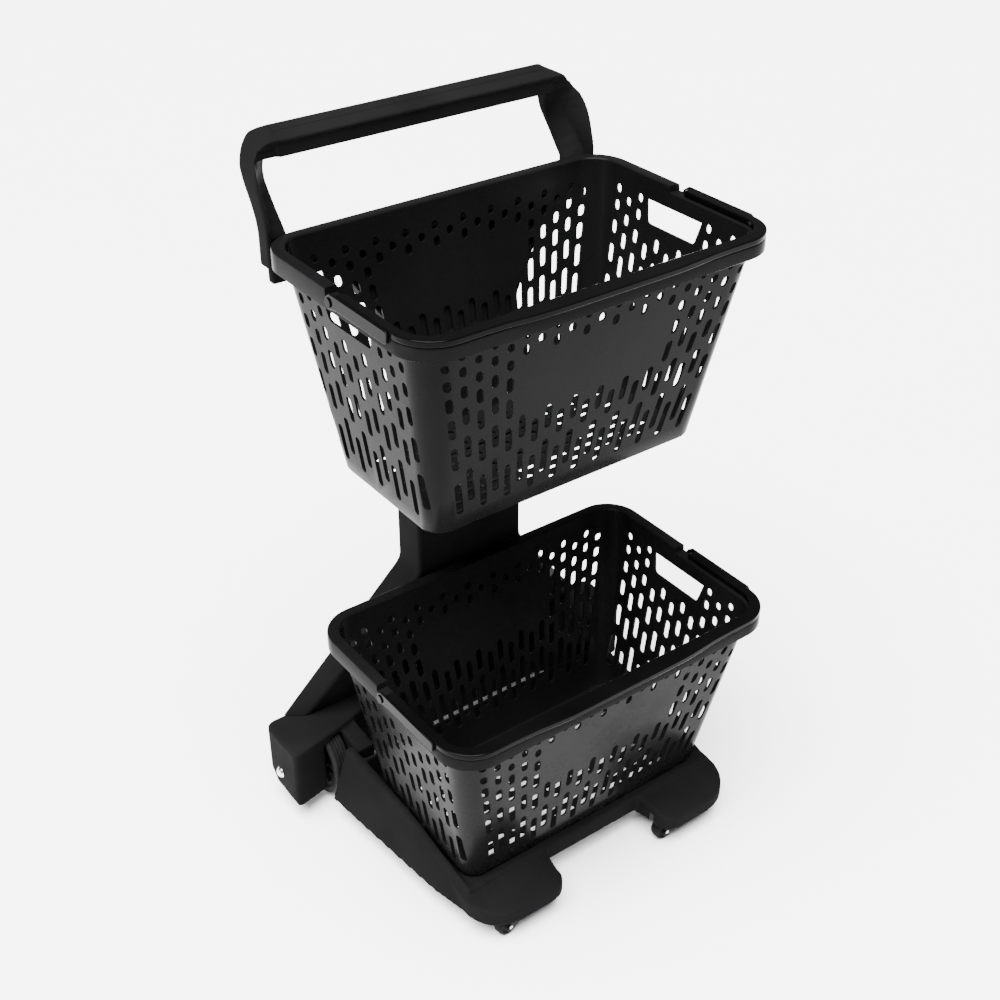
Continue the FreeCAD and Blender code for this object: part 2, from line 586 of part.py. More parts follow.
def basket_tub(label, y, z):
    """Tapered tub with a flat rim, a skirt, a raised rear rim and hand-holes in both ends."""
    body = new_body(label)
    base = new_sketch(body, "floor_outline", "XY_Plane", 0.0)
    rounded_box(base, "floor_long", "floor_wide", "floor_corner")
    mouth = new_sketch(body, "mouth_outline", "XY_Plane", "tub_tall")
    rounded_box(mouth, "mouth_long", "mouth_wide", "mouth_corner")
    loft(body, "AdditiveLoft", [base, mouth], ruled=False)
    tall = size("tub_tall")
    thick = size("bail_thick")
    low = new_sketch(body, "cavity_floor", "XY_Plane", "wall_thick")
    rounded_box(low, "cavity_long", "cavity_wide", "cavity_corner")
    high = new_sketch(body, "cavity_mouth", "XY_Plane", tall + 0.5)
    rounded_box(high, "cavity_mouth_long", "cavity_mouth_wide", "cavity_mouth_corner")
    loft(body, "SubtractiveLoft", [low, high], ruled=False)
    skirt = size("wall_thick")
    plate_top = tall - thick
    plate = new_sketch(body, "rim_outline", "XY_Plane", plate_top - size("rim_plate"))
    rounded_box(plate, "rim_long", "rim_wide", "rim_corner")
    rounded_box(plate, "rim_hole_long", "rim_hole_wide", "rim_hole_corner")
    pad(body, plate, "rim_plate")
    under = new_sketch(body, "skirt_outline", "XY_Plane", tall - size("skirt_tall"))
    rounded_box(under, "rim_long", "rim_wide", "rim_corner")
    rounded_box(under, size("rim_long") - 2 * skirt, size("rim_wide") - 2 * skirt, size("rim_corner") - skirt)
    pad(body, under, size("skirt_tall") - thick - 1.0)
    raised = new_sketch(body, "raised_rim", "XY_Plane", plate_top - 0.5)
    rounded_box(raised, "rim_long", "rim_wide", "rim_corner")
    rounded_box(raised, "raised_hole_long", "raised_hole_wide", "rim_hole_corner")
    pad(body, raised, thick + 0.5)
    step = new_sketch(body, "front_step", "XY_Plane", tall - thick)
    polygon(step, [(-300, -200), (300, -200), (300, 12), (-300, 12)])
    pocket(body, step, thick + 5.0, back=True)
    hand = new_sketch(body, "hand_hole", "YZ_Plane", 0.0)
    top_z = tall - size("hand_top_drop")
    low_z = tall - size("hand_low_drop")
    top_half, low_half = size("hand_top_half"), size("hand_low_half")
    polygon(hand, [(-top_half, top_z), (top_half, top_z), (low_half + 3, low_z + 8), (low_half - 4, low_z),
                   (4 - low_half, low_z), (-low_half - 3, low_z + 8)])
    pocket(body, hand, 700.0, both=True)
    place(body, 0.0, y, z)
    pins = [rod("%s_pin_hole_%d" % (label, side + 1), "pin_radius", 12.0, side * 241.0, size(y),
                size(z) + tall - size("pivot_drop"), outward(side)) for side in (-1, 1)]
    return drilled(body, label, pins)


def bail(label, y, z):
    """Flat U-shaped carrying handle that folds down on the front half of the rim."""
    body = new_body(label)
    tall = size("tub_tall")
    thick = size("bail_thick")
    low = tall - thick + 0.15
    band = new_sketch(body, "bail_band", "XY_Plane", low)
    outer_half = size("bail_out_half")
    inner_half = size("bail_in_half")
    front = -size("bail_reach")
    grip = -size("bail_grip_out")
    inside = -size("bail_inner")
    r = size("rim_corner")
    points = [(-outer_half, -8.0), (-outer_half, front + r), (-outer_half + 4, front + 28),
              (-outer_half + 14, front + 13), (-outer_half + 28, front + 4), (-outer_half + r, front),
              (-150, front), (-110, grip + 1.5), (-70, grip), (70, grip), (110, grip + 1.5), (150, front),
              (outer_half - r, front), (outer_half - 28, front + 4), (outer_half - 14, front + 13),
              (outer_half - 4, front + 28), (outer_half, front + r), (outer_half, -8.0),
              (inner_half, -8.0), (inner_half, inside + 36), (inner_half - 10, inside + 10),
              (inner_half - 36, inside), (-inner_half + 36, inside), (-inner_half + 10, inside + 10),
              (-inner_half, inside + 36), (-inner_half, -8.0)]
    polygon(band, points)
    pad(body, band, thick - 0.15)
    for side in (-1, 1):
        cheek = new_sketch(body, "bail_cheek_%d" % (side + 1), "XY_Plane", tall - thick - 8.0)
        inner, outer = side * size("bail_cheek_in"), side * size("bail_cheek_out")
        polygon(cheek, [(inner, -110), (outer, -104), (outer, 7.5), (inner, 7.5)])
        pad(body, cheek, thick + 8.0)
        link = new_sketch(body, "bail_link_%d" % (side + 1), "XY_Plane", low + 3.5)
        polygon(link, [(side * 249, -110), (side * 251, -108), (side * 251, -8.0), (side * 249, -8.0)])
        pad(body, link, thick - 0.15 - 3.5)
    place(body, 0.0, y, z)
    pins = [rod("%s_pin_bore_%d" % (label, side + 1), size("pin_radius") + size("run_gap"), 30.0, side * 232.0,
                size(y), size(z) + tall - size("pivot_drop"), outward(side)) for side in (-1, 1)]
    return drilled(body, label, pins)


def bail_pins(label, y, z):
    """Two headed pivot pins through the bail's cheeks and the basket's skirt."""
    made = []
    height = size(z) + size("tub_tall") - size("pivot_drop")
    for side in (-1, 1):
        turn = outward(side)
        shank = rod("%s_shank_%d" % (label, side + 1), "pin_radius", 9.0, side * 244.8, size(y), height, turn)
        head = rod("%s_head_%d" % (label, side + 1), "pin_head_radius", "pin_head_tall", side * 253.6, size(y),
                   height, turn)
        joined = doc.addObject("Part::MultiFuse", "%s_%d" % (label, side + 1))
        joined.Shapes = [shank, head]
        made.append(joined)
    group = doc.addObject("Part::Compound", label + "_group")
    group.Links = made
    doc.recompute()
    return keep(group, label)


# ---------------------------------------------------------------- wheels

def rear_wheel(side_name, side):
    """Spoked nylon core and a solid tyre on the steel rear axle."""
    core = new_body(side_name + "_rear_wheel_core")
    half = (size("rear_wheel_out") - size("rear_wheel_in")) / 2
    profile = new_sketch(core, "core_profile", "XZ_Plane", 0.0)
    bore = size("axle_radius") + size("run_gap")
    polygon(profile, [(-half, bore), (half, bore), (half, "hub_radius"), (4, 14), (3, 40), (half - 3, 43),
                      (half - 3, "tyre_inner"), (3 - half, "tyre_inner"), (3 - half, 43), (-3, 40), (-4, 14),
                      (-half, "hub_radius")])
    turned(core, profile)
    place(core, side * (size("rear_wheel_in") + half), "axle_y", "axle_z")
    keep(core, side_name + "_rear_wheel_core")
    tyre = new_body(side_name + "_rear_tyre")
    band = new_sketch(tyre, "tyre_profile", "XZ_Plane", 0.0)
    polygon(band, [(-half + 1, "tyre_inner"), (half - 1, "tyre_inner"), (half, 51.5), (half - 0.5, 56),
                   (half - 4, "rear_wheel_radius"), (4 - half, "rear_wheel_radius"), (0.5 - half, 56),
                   (-half, 51.5)])
    turned(tyre, band)
    place(tyre, side * (size("rear_wheel_in") + half), "axle_y", "axle_z")
    keep(tyre, side_name + "_rear_tyre")


def castor(side_name, side, yaw):
    """Swivel castor: stem, fork, axle pin and wheel, trailing behind its pivot."""
    turn = Rotation(Vector(0, 0, 1), size(yaw))
    heel = turn.multVec(Vector(size("castor_trail"), 0, 0))
    x0 = side * size("castor_x")
    y0 = size("castor_y")
    fork = new_body(side_name + "_castor_fork")
    plan = new_sketch(fork, "fork_plan", "XY_Plane", 24.0)
    polygon(plan, [(-9, -6), (-5, -10.5), (18, -11.6), (18, 11.6), (-5, 10.5), (-9, 6)])
    pad(fork, plan, 6.6)
    for lean in (-1, 1):
        cheek = new_sketch(fork, "fork_cheek_%d" % (lean + 1), "XZ_Plane", -lean * 10.2)
        polygon(cheek, [(6, 24), (28, 11), (34, 9), (41, 12), (41, 19), (30, 30), (6, 30)])
        pad(fork, cheek, 2.8, both=True)
    place(fork, x0, y0, 0.0, True, turn)
    axle_turn = turn.multiply(FORWARD)
    side_way = turn.multVec(Vector(0, 1, 0))
    bore = rod(side_name + "_fork_bore", size("pin_radius") + 0.01, 40.0, x0 + heel.x + side_way.x * 20,
               y0 + heel.y + side_way.y * 20, "castor_radius", axle_turn)
    stem_hole = rod(side_name + "_stem_hole", size("stem_radius") + 0.01, 10.0, x0, y0, 23.0, ALONG_Z)
    drilled(fork, side_name + "_castor_fork", [bore, stem_hole])
    keep(rod(side_name + "_castor_axle", "pin_radius", 23.2, x0 + heel.x + side_way.x * 11.6,
             y0 + heel.y + side_way.y * 11.6, "castor_radius", axle_turn), side_name + "_castor_axle")
    keep(rod(side_name + "_castor_stem", "stem_radius", 25.0, x0, y0, 24.0, ALONG_Z),
         side_name + "_castor_stem")
    wheel = new_body(side_name + "_castor_wheel")
    half = size("castor_half")
    profile = new_sketch(wheel, "castor_profile", "XZ_Plane", 0.0)
    edge = size("castor_radius")
    bore_radius = size("pin_radius") + size("run_gap")
    polygon(profile, [(-half, bore_radius), (half, bore_radius), (half, 5), (half - 1.5, 6),
                      (half - 1.5, 10.5), (half, 11.5), (half, edge - 2), (half - 2, edge), (2 - half, edge),
                      (-half, edge - 2), (-half, 11.5), (1.5 - half, 10.5), (1.5 - half, 6), (-half, 5)])
    turned(wheel, profile)
    wheel_turn = turn.multiply(Rotation(Vector(0, 0, 1), 90))
    place(wheel, x0 + heel.x, y0 + heel.y, "castor_radius", True, wheel_turn)
    keep(wheel, side_name + "_castor_wheel")
    ring(side_name + "_castor_sleeve", "sleeve_radius", size("stem_radius") + size("run_gap"), 20.0, x0, y0, 31.6,
         ALONG_Z)


def end_cap(side_name, side):
    """Domed push cap on the axle end."""
    cap = new_body(side_name + "_axle_cap")
    profile = new_sketch(cap, "cap_profile", "XZ_Plane", 0.0)
    polygon(profile, [(0, 5), (0, 8.5), (2.5, 8), (5, 6.4), (6.6, 4), (7.2, 0), (4.3, 0), (4.3, 5)])
    turned(cap, profile)
    facing = Rotation(Vector(0, 0, 1), 0 if side > 0 else 180)
    place(cap, side * 285.2, "axle_y", "axle_z", True, facing)
    keep(cap, side_name + "_axle_cap")


# ---------------------------------------------------------------- assembly

base_frame()
column()
yoke()
basket_shelf()
handle_loop()
screws("column_screws", COLUMN_SCREWS, ALONG_Z, *COLUMN_HEAD, *COLUMN_SHANK)
screws("shelf_screws", SHELF_SCREWS, ALONG_Y, *SHELF_HEAD, *SHELF_SHANK)
screws("yoke_screws", YOKE_SCREWS, FORWARD, *YOKE_HEAD, *YOKE_SHANK)
screws("loop_screws", LOOP_SCREWS, FORWARD, *LOOP_HEAD, *LOOP_SHANK)

keep(rod("rear_axle_rod", "axle_radius", 2 * size("axle_half"), "-axle_half", "axle_y", "axle_z", ALONG_X),
     "rear_axle")
for side_name, side in (("left", -1), ("right", 1)):
    rear_wheel(side_name, side)
    flanged_bush(side_name + "_inner_bush", side, size("well_in") + 0.2)
    flanged_bush(side_name + "_outer_bush", side, 280.8)
    spacer_in, spacer_out = size("rear_wheel_out") + 0.3, 279.3
    ring(side_name + "_wheel_spacer", 7.8, size("axle_radius") + size("run_gap"), spacer_out - spacer_in,
         spacer_in if side > 0 else -spacer_out, "axle_y", "axle_z", ALONG_X)
    end_cap(side_name, side)
castor("left", -1, "left_castor_yaw")
castor("right", 1, "right_castor_yaw")

for level, y, z in (("lower", 0.0, "lower_z"), ("upper", "upper_y", "upper_z")):
    basket_tub(level + "_basket", y, z)
    bail(level + "_bail", y, z)
    bail_pins(level + "_bail_pins", y, z)

doc.recompute()
os.makedirs("parts", exist_ok=True)
for obj in doc.Objects:
    if "Invalid" in obj.State or "Error" in obj.State:
        print("BAD STATE", obj.Label, obj.State)
for obj in PARTS:
    shape = obj.Shape
    if shape.isNull() or not shape.isValid():
        print("BAD SHAPE", obj.Label)
        continue
    shape.exportStep(os.path.join("parts", obj.Label + ".step"))
    box = shape.BoundBox
    print("%-26s solids %d vol %9.0f  x %7.1f %7.1f  y %7.1f %7.1f  z %7.1f %7.1f" % (
        obj.Label, len(shape.Solids), shape.Volume, box.XMin, box.XMax, box.YMin, box.YMax, box.ZMin, box.ZMax))
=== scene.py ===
import math

import bmesh
import bpy
from mathutils import Matrix, Vector


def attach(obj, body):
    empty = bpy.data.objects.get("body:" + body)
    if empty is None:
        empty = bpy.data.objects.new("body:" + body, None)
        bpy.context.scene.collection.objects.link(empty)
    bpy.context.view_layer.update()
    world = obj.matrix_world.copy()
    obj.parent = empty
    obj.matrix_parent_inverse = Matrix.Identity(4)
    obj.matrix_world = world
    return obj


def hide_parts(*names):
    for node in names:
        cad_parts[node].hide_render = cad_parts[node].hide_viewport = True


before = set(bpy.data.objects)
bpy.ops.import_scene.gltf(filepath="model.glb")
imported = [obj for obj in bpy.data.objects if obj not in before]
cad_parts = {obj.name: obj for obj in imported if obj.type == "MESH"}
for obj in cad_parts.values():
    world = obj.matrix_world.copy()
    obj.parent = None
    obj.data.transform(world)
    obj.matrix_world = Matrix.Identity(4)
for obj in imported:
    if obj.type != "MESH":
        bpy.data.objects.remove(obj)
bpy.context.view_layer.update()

# Rolling basket trolley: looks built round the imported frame.  Metres, +Z up.
# MM turns the drawing's millimetres into metres.  MID is how far the drawing's
# y = 0 (middle of the lower basket) lies in front of the frame's origin.

MM = 0.001
MID = -65.0

# ------------------------------------------------------------------ sizes (mm)

RIM_HALF = (250.0, 164.0)
RIM_CORNER = 49.0
TUB_TALL = 279.0
FLOOR_HALF = (196.5, 100.0)
FLOOR_CORNER = 24.0
MOUTH_HALF = (238.0, 153.0)
MOUTH_CORNER = 38.0
WALL = 2.8
BAIL_THICK = 7.8
STEP_Y = 12.0
PIVOT_DROP = 11.0
LEVELS = {"lower": (0.0, 65.0), "upper": (60.0, 566.0)}


def at(x, y, z):
    """A point of the drawing, in the frame's metres."""
    return Vector((x * MM, (y + MID) * MM, z * MM))


# ------------------------------------------------------------------ materials

# a noise stays mostly between these values, so this stretch of it is what gets spread
NOISE_LOW, NOISE_HIGH = 0.35, 0.65


class Nodes:
    """Small helper that adds and links shader nodes."""

    def __init__(self, name):
        self.material = bpy.data.materials.new(name)
        self.material.use_nodes = True
        self.tree = self.material.node_tree
        self.shader = self.tree.nodes["Principled BSDF"]
        self.place = self.add("ShaderNodeTexCoord").outputs["Object"]

    def add(self, kind, **values):
        node = self.tree.nodes.new(kind)
        for key, value in values.items():
            setattr(node, key, value)
        return node

    def link(self, source, target):
        self.tree.links.new(source, target)

    def noise(self, scale, detail=3.0, rough=0.5, stretch=None):
        node = self.add("ShaderNodeTexNoise")
        node.inputs["Scale"].default_value = scale
        node.inputs["Detail"].default_value = detail
        node.inputs["Roughness"].default_value = rough
        if stretch:
            mapping = self.add("ShaderNodeMapping")
            mapping.inputs["Scale"].default_value = stretch
            self.link(self.place, mapping.inputs["Vector"])
            self.link(mapping.outputs["Vector"], node.inputs["Vector"])
        else:
            self.link(self.place, node.inputs["Vector"])
        return node.outputs["Fac"]

    def spread(self, fac, low, high):
        """Maps a noise to a range of values."""
        node = self.add("ShaderNodeMapRange")
        node.inputs["From Min"].default_value = NOISE_LOW
        node.inputs["From Max"].default_value = NOISE_HIGH
        node.inputs["To Min"].default_value = low
        node.inputs["To Max"].default_value = high
        self.link(fac, node.inputs["Value"])
        return node.outputs["Result"]

    def mix(self, fac, dark, light):
        node = self.add("ShaderNodeMix", data_type="RGBA")
        node.inputs["A"].default_value = (*dark, 1.0)
        node.inputs["B"].default_value = (*light, 1.0)
        self.link(fac, node.inputs["Factor"])
        return node.outputs["Result"]

    def bump(self, height, strength, distance, after=None):
        node = self.add("ShaderNodeBump")
        node.inputs["Strength"].default_value = strength
        node.inputs["Distance"].default_value = distance
        self.link(height, node.inputs["Height"])
        if after:
            self.link(after, node.inputs["Normal"])
        return node.outputs["Normal"]


def plastic(name, dark, light, rough, pebble, pebble_depth, shine):
    """Moulded plastic: slight tone patches, uneven gloss, grain and fine scuffs."""
    n = Nodes(name)
    patches = n.noise(9.0, 4.0)
    n.link(n.mix(n.spread(patches, 0.0, 1.0), dark, light), n.shader.inputs["Base Color"])
    handled = n.noise(22.0, 5.0, 0.6)
    n.link(n.spread(handled, rough[0], rough[1]), n.shader.inputs["Roughness"])
    grain = n.bump(n.noise(pebble, 2.0), pebble_depth, 0.0002)
    scuffs = n.noise(60.0, 6.0, 0.7, stretch=(1.0, 1.0, 9.0))
    n.link(n.bump(scuffs, 0.06, 0.0002, grain), n.shader.inputs["Normal"])
    n.shader.inputs["Specular IOR Level"].default_value = shine
    return n.material


def metal(name, dark, light, rough, stretch):
    """Drawn or pressed steel with fine lengthwise streaks."""
    n = Nodes(name)
    streaks = n.noise(260.0, 4.0, 0.6, stretch=stretch)
    n.link(n.mix(n.spread(streaks, 0.0, 1.0), dark, light), n.shader.inputs["Base Color"])
    n.link(n.spread(n.noise(40.0, 4.0), rough[0], rough[1]), n.shader.inputs["Roughness"])
    n.link(n.bump(streaks, 0.15, 0.0001), n.shader.inputs["Normal"])
    n.shader.inputs["Metallic"].default_value = 1.0
    return n.material


def rubber(name, dark, light, shine):
    """Moulded rubber: dull, dusty on its high spots."""
    n = Nodes(name)
    dust = n.noise(35.0, 6.0, 0.65)
    n.link(n.mix(n.spread(dust, 0.0, 1.0), dark, light), n.shader.inputs["Base Color"])
    n.link(n.spread(n.noise(80.0, 3.0), 0.55, 0.8), n.shader.inputs["Roughness"])
    n.link(n.bump(n.noise(700.0, 3.0), 0.25, 0.0002), n.shader.inputs["Normal"])
    n.shader.inputs["Specular IOR Level"].default_value = shine
    return n.material


FRAME_BLACK = plastic("frame_plastic", (0.0040, 0.0040, 0.0042), (0.0054, 0.0054, 0.0056), (0.5, 0.62),
                      1300.0, 0.3, 0.004)
BASKET_BLACK = plastic("basket_plastic", (0.0028, 0.0028, 0.003), (0.0036, 0.0036, 0.0037), (0.22, 0.32),
                       420.0, 0.04, 0.018)
BAIL_BLACK = plastic("bail_plastic", (0.0010, 0.0010, 0.0011), (0.0016, 0.0016, 0.0017), (0.10, 0.18),
                     300.0, 0.03, 0.03)
WHEEL_GREY = plastic("wheel_plastic", (0.003, 0.003, 0.0032), (0.005, 0.005, 0.0052), (0.4, 0.55),
                     900.0, 0.2, 0.04)
BUSH_GREY = plastic("bush_plastic", (0.07, 0.07, 0.067), (0.10, 0.10, 0.096), (0.35, 0.5), 700.0, 0.1, 0.3)
TYRE = rubber("tyre_rubber", (0.0025, 0.0025, 0.0026), (0.006, 0.006, 0.006), 0.1)
CASTOR_RUBBER = rubber("castor_rubber", (0.003, 0.003, 0.0031), (0.006, 0.006, 0.0061), 0.05)
SCREW_STEEL = metal("screw_steel", (0.42, 0.42, 0.43), (0.6, 0.6, 0.61), (0.25, 0.42), (1.0, 1.0, 1.0))
AXLE_STEEL = metal("axle_steel", (0.42, 0.42, 0.43), (0.6, 0.6, 0.61), (0.2, 0.35), (0.08, 1.0, 1.0))
CAP_STEEL = metal("cap_steel", (0.6, 0.6, 0.61), (0.8, 0.8, 0.81), (0.14, 0.25), (1.0, 1.0, 1.0))


# ------------------------------------------------------------------ mesh helpers

def make(name, mesh, material, body, replaced=()):
    """Turns a bmesh into a shown piece that rides on a body."""
    data = bpy.data.meshes.new(name)
    bmesh.ops.recalc_face_normals(mesh, faces=mesh.faces[:])
    mesh.to_mesh(data)
    mesh.free()
    piece = bpy.data.objects.new(name, data)
    bpy.context.scene.collection.objects.link(piece)
    finish_piece(piece, material, body, replaced)
    return piece


def finish_piece(piece, material, body, replaced=()):
    """Gives a piece its material, its body and the CAD nodes it stands in for."""
    piece.data.materials.clear()
    piece.data.materials.append(material)
    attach(piece, body)
    if replaced:
        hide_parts(*replaced)


def soften(piece, width, segments=3, angle=32.0):
    """Rounds the piece's sharp edges and shades it smooth."""
    bevel = piece.modifiers.new("edges", "BEVEL")
    bevel.width = width * MM
    bevel.segments = segments
    bevel.limit_method = "ANGLE"
    bevel.angle_limit = math.radians(angle)
    smooth(piece, angle)


def smooth(piece, angle=32.0):
    """Shades a piece smooth, except at edges sharper than the angle."""
    for face in piece.data.polygons:
        face.use_smooth = True
    chosen = {"object": piece, "active_object": piece, "selected_editable_objects": [piece]}
    with bpy.context.temp_override(**chosen):
        bpy.ops.object.shade_smooth_by_angle(angle=math.radians(angle))


def bridge(mesh, rings, closed=False):
    """Joins rings of points with quads; an open run of rings is capped at both ends."""
    made = [[mesh.verts.new(p) for p in ring] for ring in rings]
    following = made[1:] + made[:1] if closed else made[1:]
    for a, b in zip(made, following):
        for k in range(len(a)):
            j = (k + 1) % len(a)
            mesh.faces.new((a[k], a[j], b[j], b[k]))
    if not closed:
        mesh.faces.new(made[0][::-1])
        mesh.faces.new(made[-1])


def arc(cx, cy, r, start, end, steps):
    """Points on a circle from one angle to another, in degrees."""
    turns = [math.radians(start + (end - start) * k / steps) for k in range(steps + 1)]
    return [(cx + r * math.cos(a), cy + r * math.sin(a)) for a in turns]


def mirrored(points, side):
    """Plan points drawn for the right-hand side (+X), on the side asked for."""
    return [(side * x, other) for x, other in points]


def span(side, inner, outer):
    """A stretch of X drawn for the right-hand side, on the side asked for, low end first."""
    return sorted((side * inner, side * outer))


def prism(mesh, outline, low, high, put):
    """A straight block: outline points (u, v) swept from low to high by put(u, v, w)."""
    bridge(mesh, [[put(u, v, w) for u, v in outline] for w in (low, high)])


def skewed_block(mesh, outline, low, high, middle, axes):
    """A straight block round a point, along three directions of its own."""
    first, second, third = axes
    prism(mesh, outline, low, high, lambda u, v, w: middle + (first * u + second * v + third * w) * MM)


def turned(mesh, profile, middle, axis, steps=64):
    """A solid of revolution from (along, radius) pairs about an axis through middle."""
    axis = Vector(axis).normalized()
    side = axis.orthogonal().normalized()
    other = axis.cross(side)
    rings = []
    for k in range(steps):
        a = 2 * math.pi * k / steps
        out = side * math.cos(a) + other * math.sin(a)
        rings.append([middle + (axis * along + out * radius) * MM for along, radius in profile])
    bridge(mesh, rings, closed=True)


def cut(piece, tool_mesh, name, solver="MANIFOLD"):
    """Cuts closed blocks out of a piece for good; only the EXACT solver lets them cross each other."""
    data = bpy.data.meshes.new(name)
    bmesh.ops.recalc_face_normals(tool_mesh, faces=tool_mesh.faces[:])
    tool_mesh.to_mesh(data)
    tool_mesh.free()
    tool = bpy.data.objects.new(name, data)
    bpy.context.scene.collection.objects.link(tool)
    modifier = piece.modifiers.new("cut", "BOOLEAN")
    modifier.operation = "DIFFERENCE"
    modifier.solver = solver
    if solver == "EXACT":
        modifier.use_self = True
    modifier.object = tool
    bake(piece)
    bpy.data.objects.remove(tool)
    bpy.data.meshes.remove(data)


def bake(piece):
    """Replaces the piece's mesh by the result of its modifiers."""
    bpy.context.view_layer.update()
    solved = piece.evaluated_get(bpy.context.evaluated_depsgraph_get())
    result = bpy.data.meshes.new_from_object(solved)
    piece.modifiers.clear()
    old = piece.data
    piece.data = result
    bpy.data.meshes.remove(old)


def weld(piece, grain):
    """Turns overlapping closed blocks into one skin."""
    remesh = piece.modifiers.new("weld", "REMESH")
    remesh.mode = "VOXEL"
    remesh.voxel_size = grain * MM
    remesh.use_smooth_shade = True


def mould(piece, grain, rounds, kept, cutters=()):
    """Makes one soft-edged moulding from overlapping blocks, less each of the cutters."""
    if cutters:
        weld(piece, grain)
        bake(piece)
    for number, tool in enumerate(cutters):
        cut(piece, tool, "%s_cutter_%d" % (piece.name, number))
    weld(piece, grain)
    soft = piece.modifiers.new("soft_edges", "SMOOTH")
    soft.factor = 0.5
    soft.iterations = rounds
    fewer = piece.modifiers.new("fewer_faces", "DECIMATE")
    fewer.ratio = kept
    bake(piece)
    smooth(piece, 60.0)


def loft(mesh, sections):
    """A closed block through sections, each a list of (x, y, z) drawing points."""
    bridge(mesh, [[at(*point) for point in section] for section in sections])


def block(mesh, x, y, z):
    """A straight box between pairs of drawing coordinates."""
    corners = [(x[0], y[0]), (x[1], y[0]), (x[1], y[1]), (x[0], y[1])]
    prism(mesh, corners, z[0], z[1], at)


def side_plate(mesh, outline_yz, low, high):
    """A plate square to X: (y, z) outline from x = low to x = high."""
    prism(mesh, outline_yz, low, high, lambda u, v, w: at(w, u, v))


def end_plate(mesh, outline_xz, low, high):
    """A plate square to Y: (x, z) outline from y = low to y = high."""
    prism(mesh, outline_xz, low, high, lambda u, v, w: at(u, w, v))


# ------------------------------------------------------------------ baskets

def outline(half_x, half_y, r, steps=10):
    """A rounded rectangle with extra points at the rim's step on both sides."""
    points = []
    points += arc(half_x - r, half_y - r, r, 0, 90, steps)
    points += arc(-half_x + r, half_y - r, r, 90, 180, steps)
    points += [(-half_x, STEP_Y + 0.6), (-half_x, STEP_Y - 0.2)]
    points += arc(-half_x + r, -half_y + r, r, 180, 270, steps)
    points += arc(half_x - r, -half_y + r, r, 270, 360, steps)
    points += [(half_x, STEP_Y - 0.2), (half_x, STEP_Y + 0.6)]
    return points


def wall_size(z, inset=0.0):
    """Half length, half width and corner radius of the tub's wall at a height above its floor."""
    t = z / TUB_TALL
    return (FLOOR_HALF[0] + (MOUTH_HALF[0] - FLOOR_HALF[0]) * t - inset,
            FLOOR_HALF[1] + (MOUTH_HALF[1] - FLOOR_HALF[1]) * t - inset,
            max(FLOOR_CORNER + (MOUTH_CORNER - FLOOR_CORNER) * t - inset, 3.0))


def tub_rings(y0, z0):
    """Rings of the basket's shell from the middle of its underside round to its inner floor."""
    plate = TUB_TALL - BAIL_THICK

    def ring(sizes, z, lift=0.0):
        return [at(x, y + y0, z0 + z + (lift if y > STEP_Y else 0.0)) for x, y in outline(*sizes)]

    def rim(inset):
        return (RIM_HALF[0] - inset, RIM_HALF[1] - inset, RIM_CORNER - inset)

    rings = [ring(wall_size(0, 3.5), 0.0), ring(wall_size(0, 1.0), 0.9), ring(wall_size(3.5), 3.5)]
    rings += [ring(wall_size(z), z) for z in (60.0, 120.0, 180.0, 230.0, 266.0)]
    rings += [ring(wall_size(268.0, -1.8), 268.2), ring(rim(3.0), 268.2)]
    rings += [ring(rim(3.0), 255.6), ring(rim(2.2), 255.0), ring(rim(0.8), 255.0), ring(rim(0.0), 255.8)]
    rings += [ring(rim(0.0), plate - 2.4, BAIL_THICK), ring(rim(0.7), plate - 0.7, BAIL_THICK),
              ring(rim(2.4), plate, BAIL_THICK)]
    rings += [ring(wall_size(plate, WALL - 1.6), plate, BAIL_THICK),
              ring(wall_size(plate, WALL), plate - 1.4, BAIL_THICK)]
    rings += [ring(wall_size(z, WALL), z) for z in (255.0, 230.0, 180.0, 120.0, 60.0, 8.0)]
    rings += [ring(wall_size(5.0, WALL + 1.2), 4.4), ring(wall_size(3.0, WALL + 5.0), 3.0)]
    return rings


def slot_outline(wide, tall, steps=5):
    """An upright slot with round ends, centred on zero."""
    r = wide / 2
    rise = max(tall / 2 - r, 0.001)
    return arc(0, rise, r, 0, 180, steps) + arc(0, -rise, r, 180, 360, steps)


# drop below the rim and length of each slot in the two kinds of column
A_COLUMN = ((30, 11.5), (51, 14), (79, 18), (113, 25), (158, 34), (217, 52))
B_COLUMN = ((41, 11.5), (65, 15), (92, 21), (126, 29), (171, 35), (234, 50))
# shift, stretch and bend of those drops on each wall
ROW_FIT = {"front": (3.5, 0.98, 0.0), "back": (2.5, 0.975, -0.00037),
           "left": (0.0, 1.0, 0.0), "right": (0.0, 1.0, 0.0)}
SLOT_WIDE = 9.4
SLOT_CUT = 7.0
# distance between columns under the rim, and how much they close up per mm of drop
LONG_PITCH = 21.35
SIDE_PITCH = 20.6
LONG_FAN = 0.00093
SIDE_FAN = 0.00041
# drops without slots: the plain panel of the long walls, the hand-hole of the short ones
PLAIN_FROM, PLAIN_TO = 55, 150
HAND_HOLE_END = 70
FLOOR_ROW = 15.0
FLOOR_PITCH = 42.0
FLOOR_REACH = 165.0
FLOOR_SLOT = (8.0, 33.0)


def column_slots(number, keep_row=None):
    """Rows of one column; odd columns are of the A kind."""
    rows = A_COLUMN if number % 2 else B_COLUMN
    return [row for row in rows if keep_row is None or keep_row(row[0])]


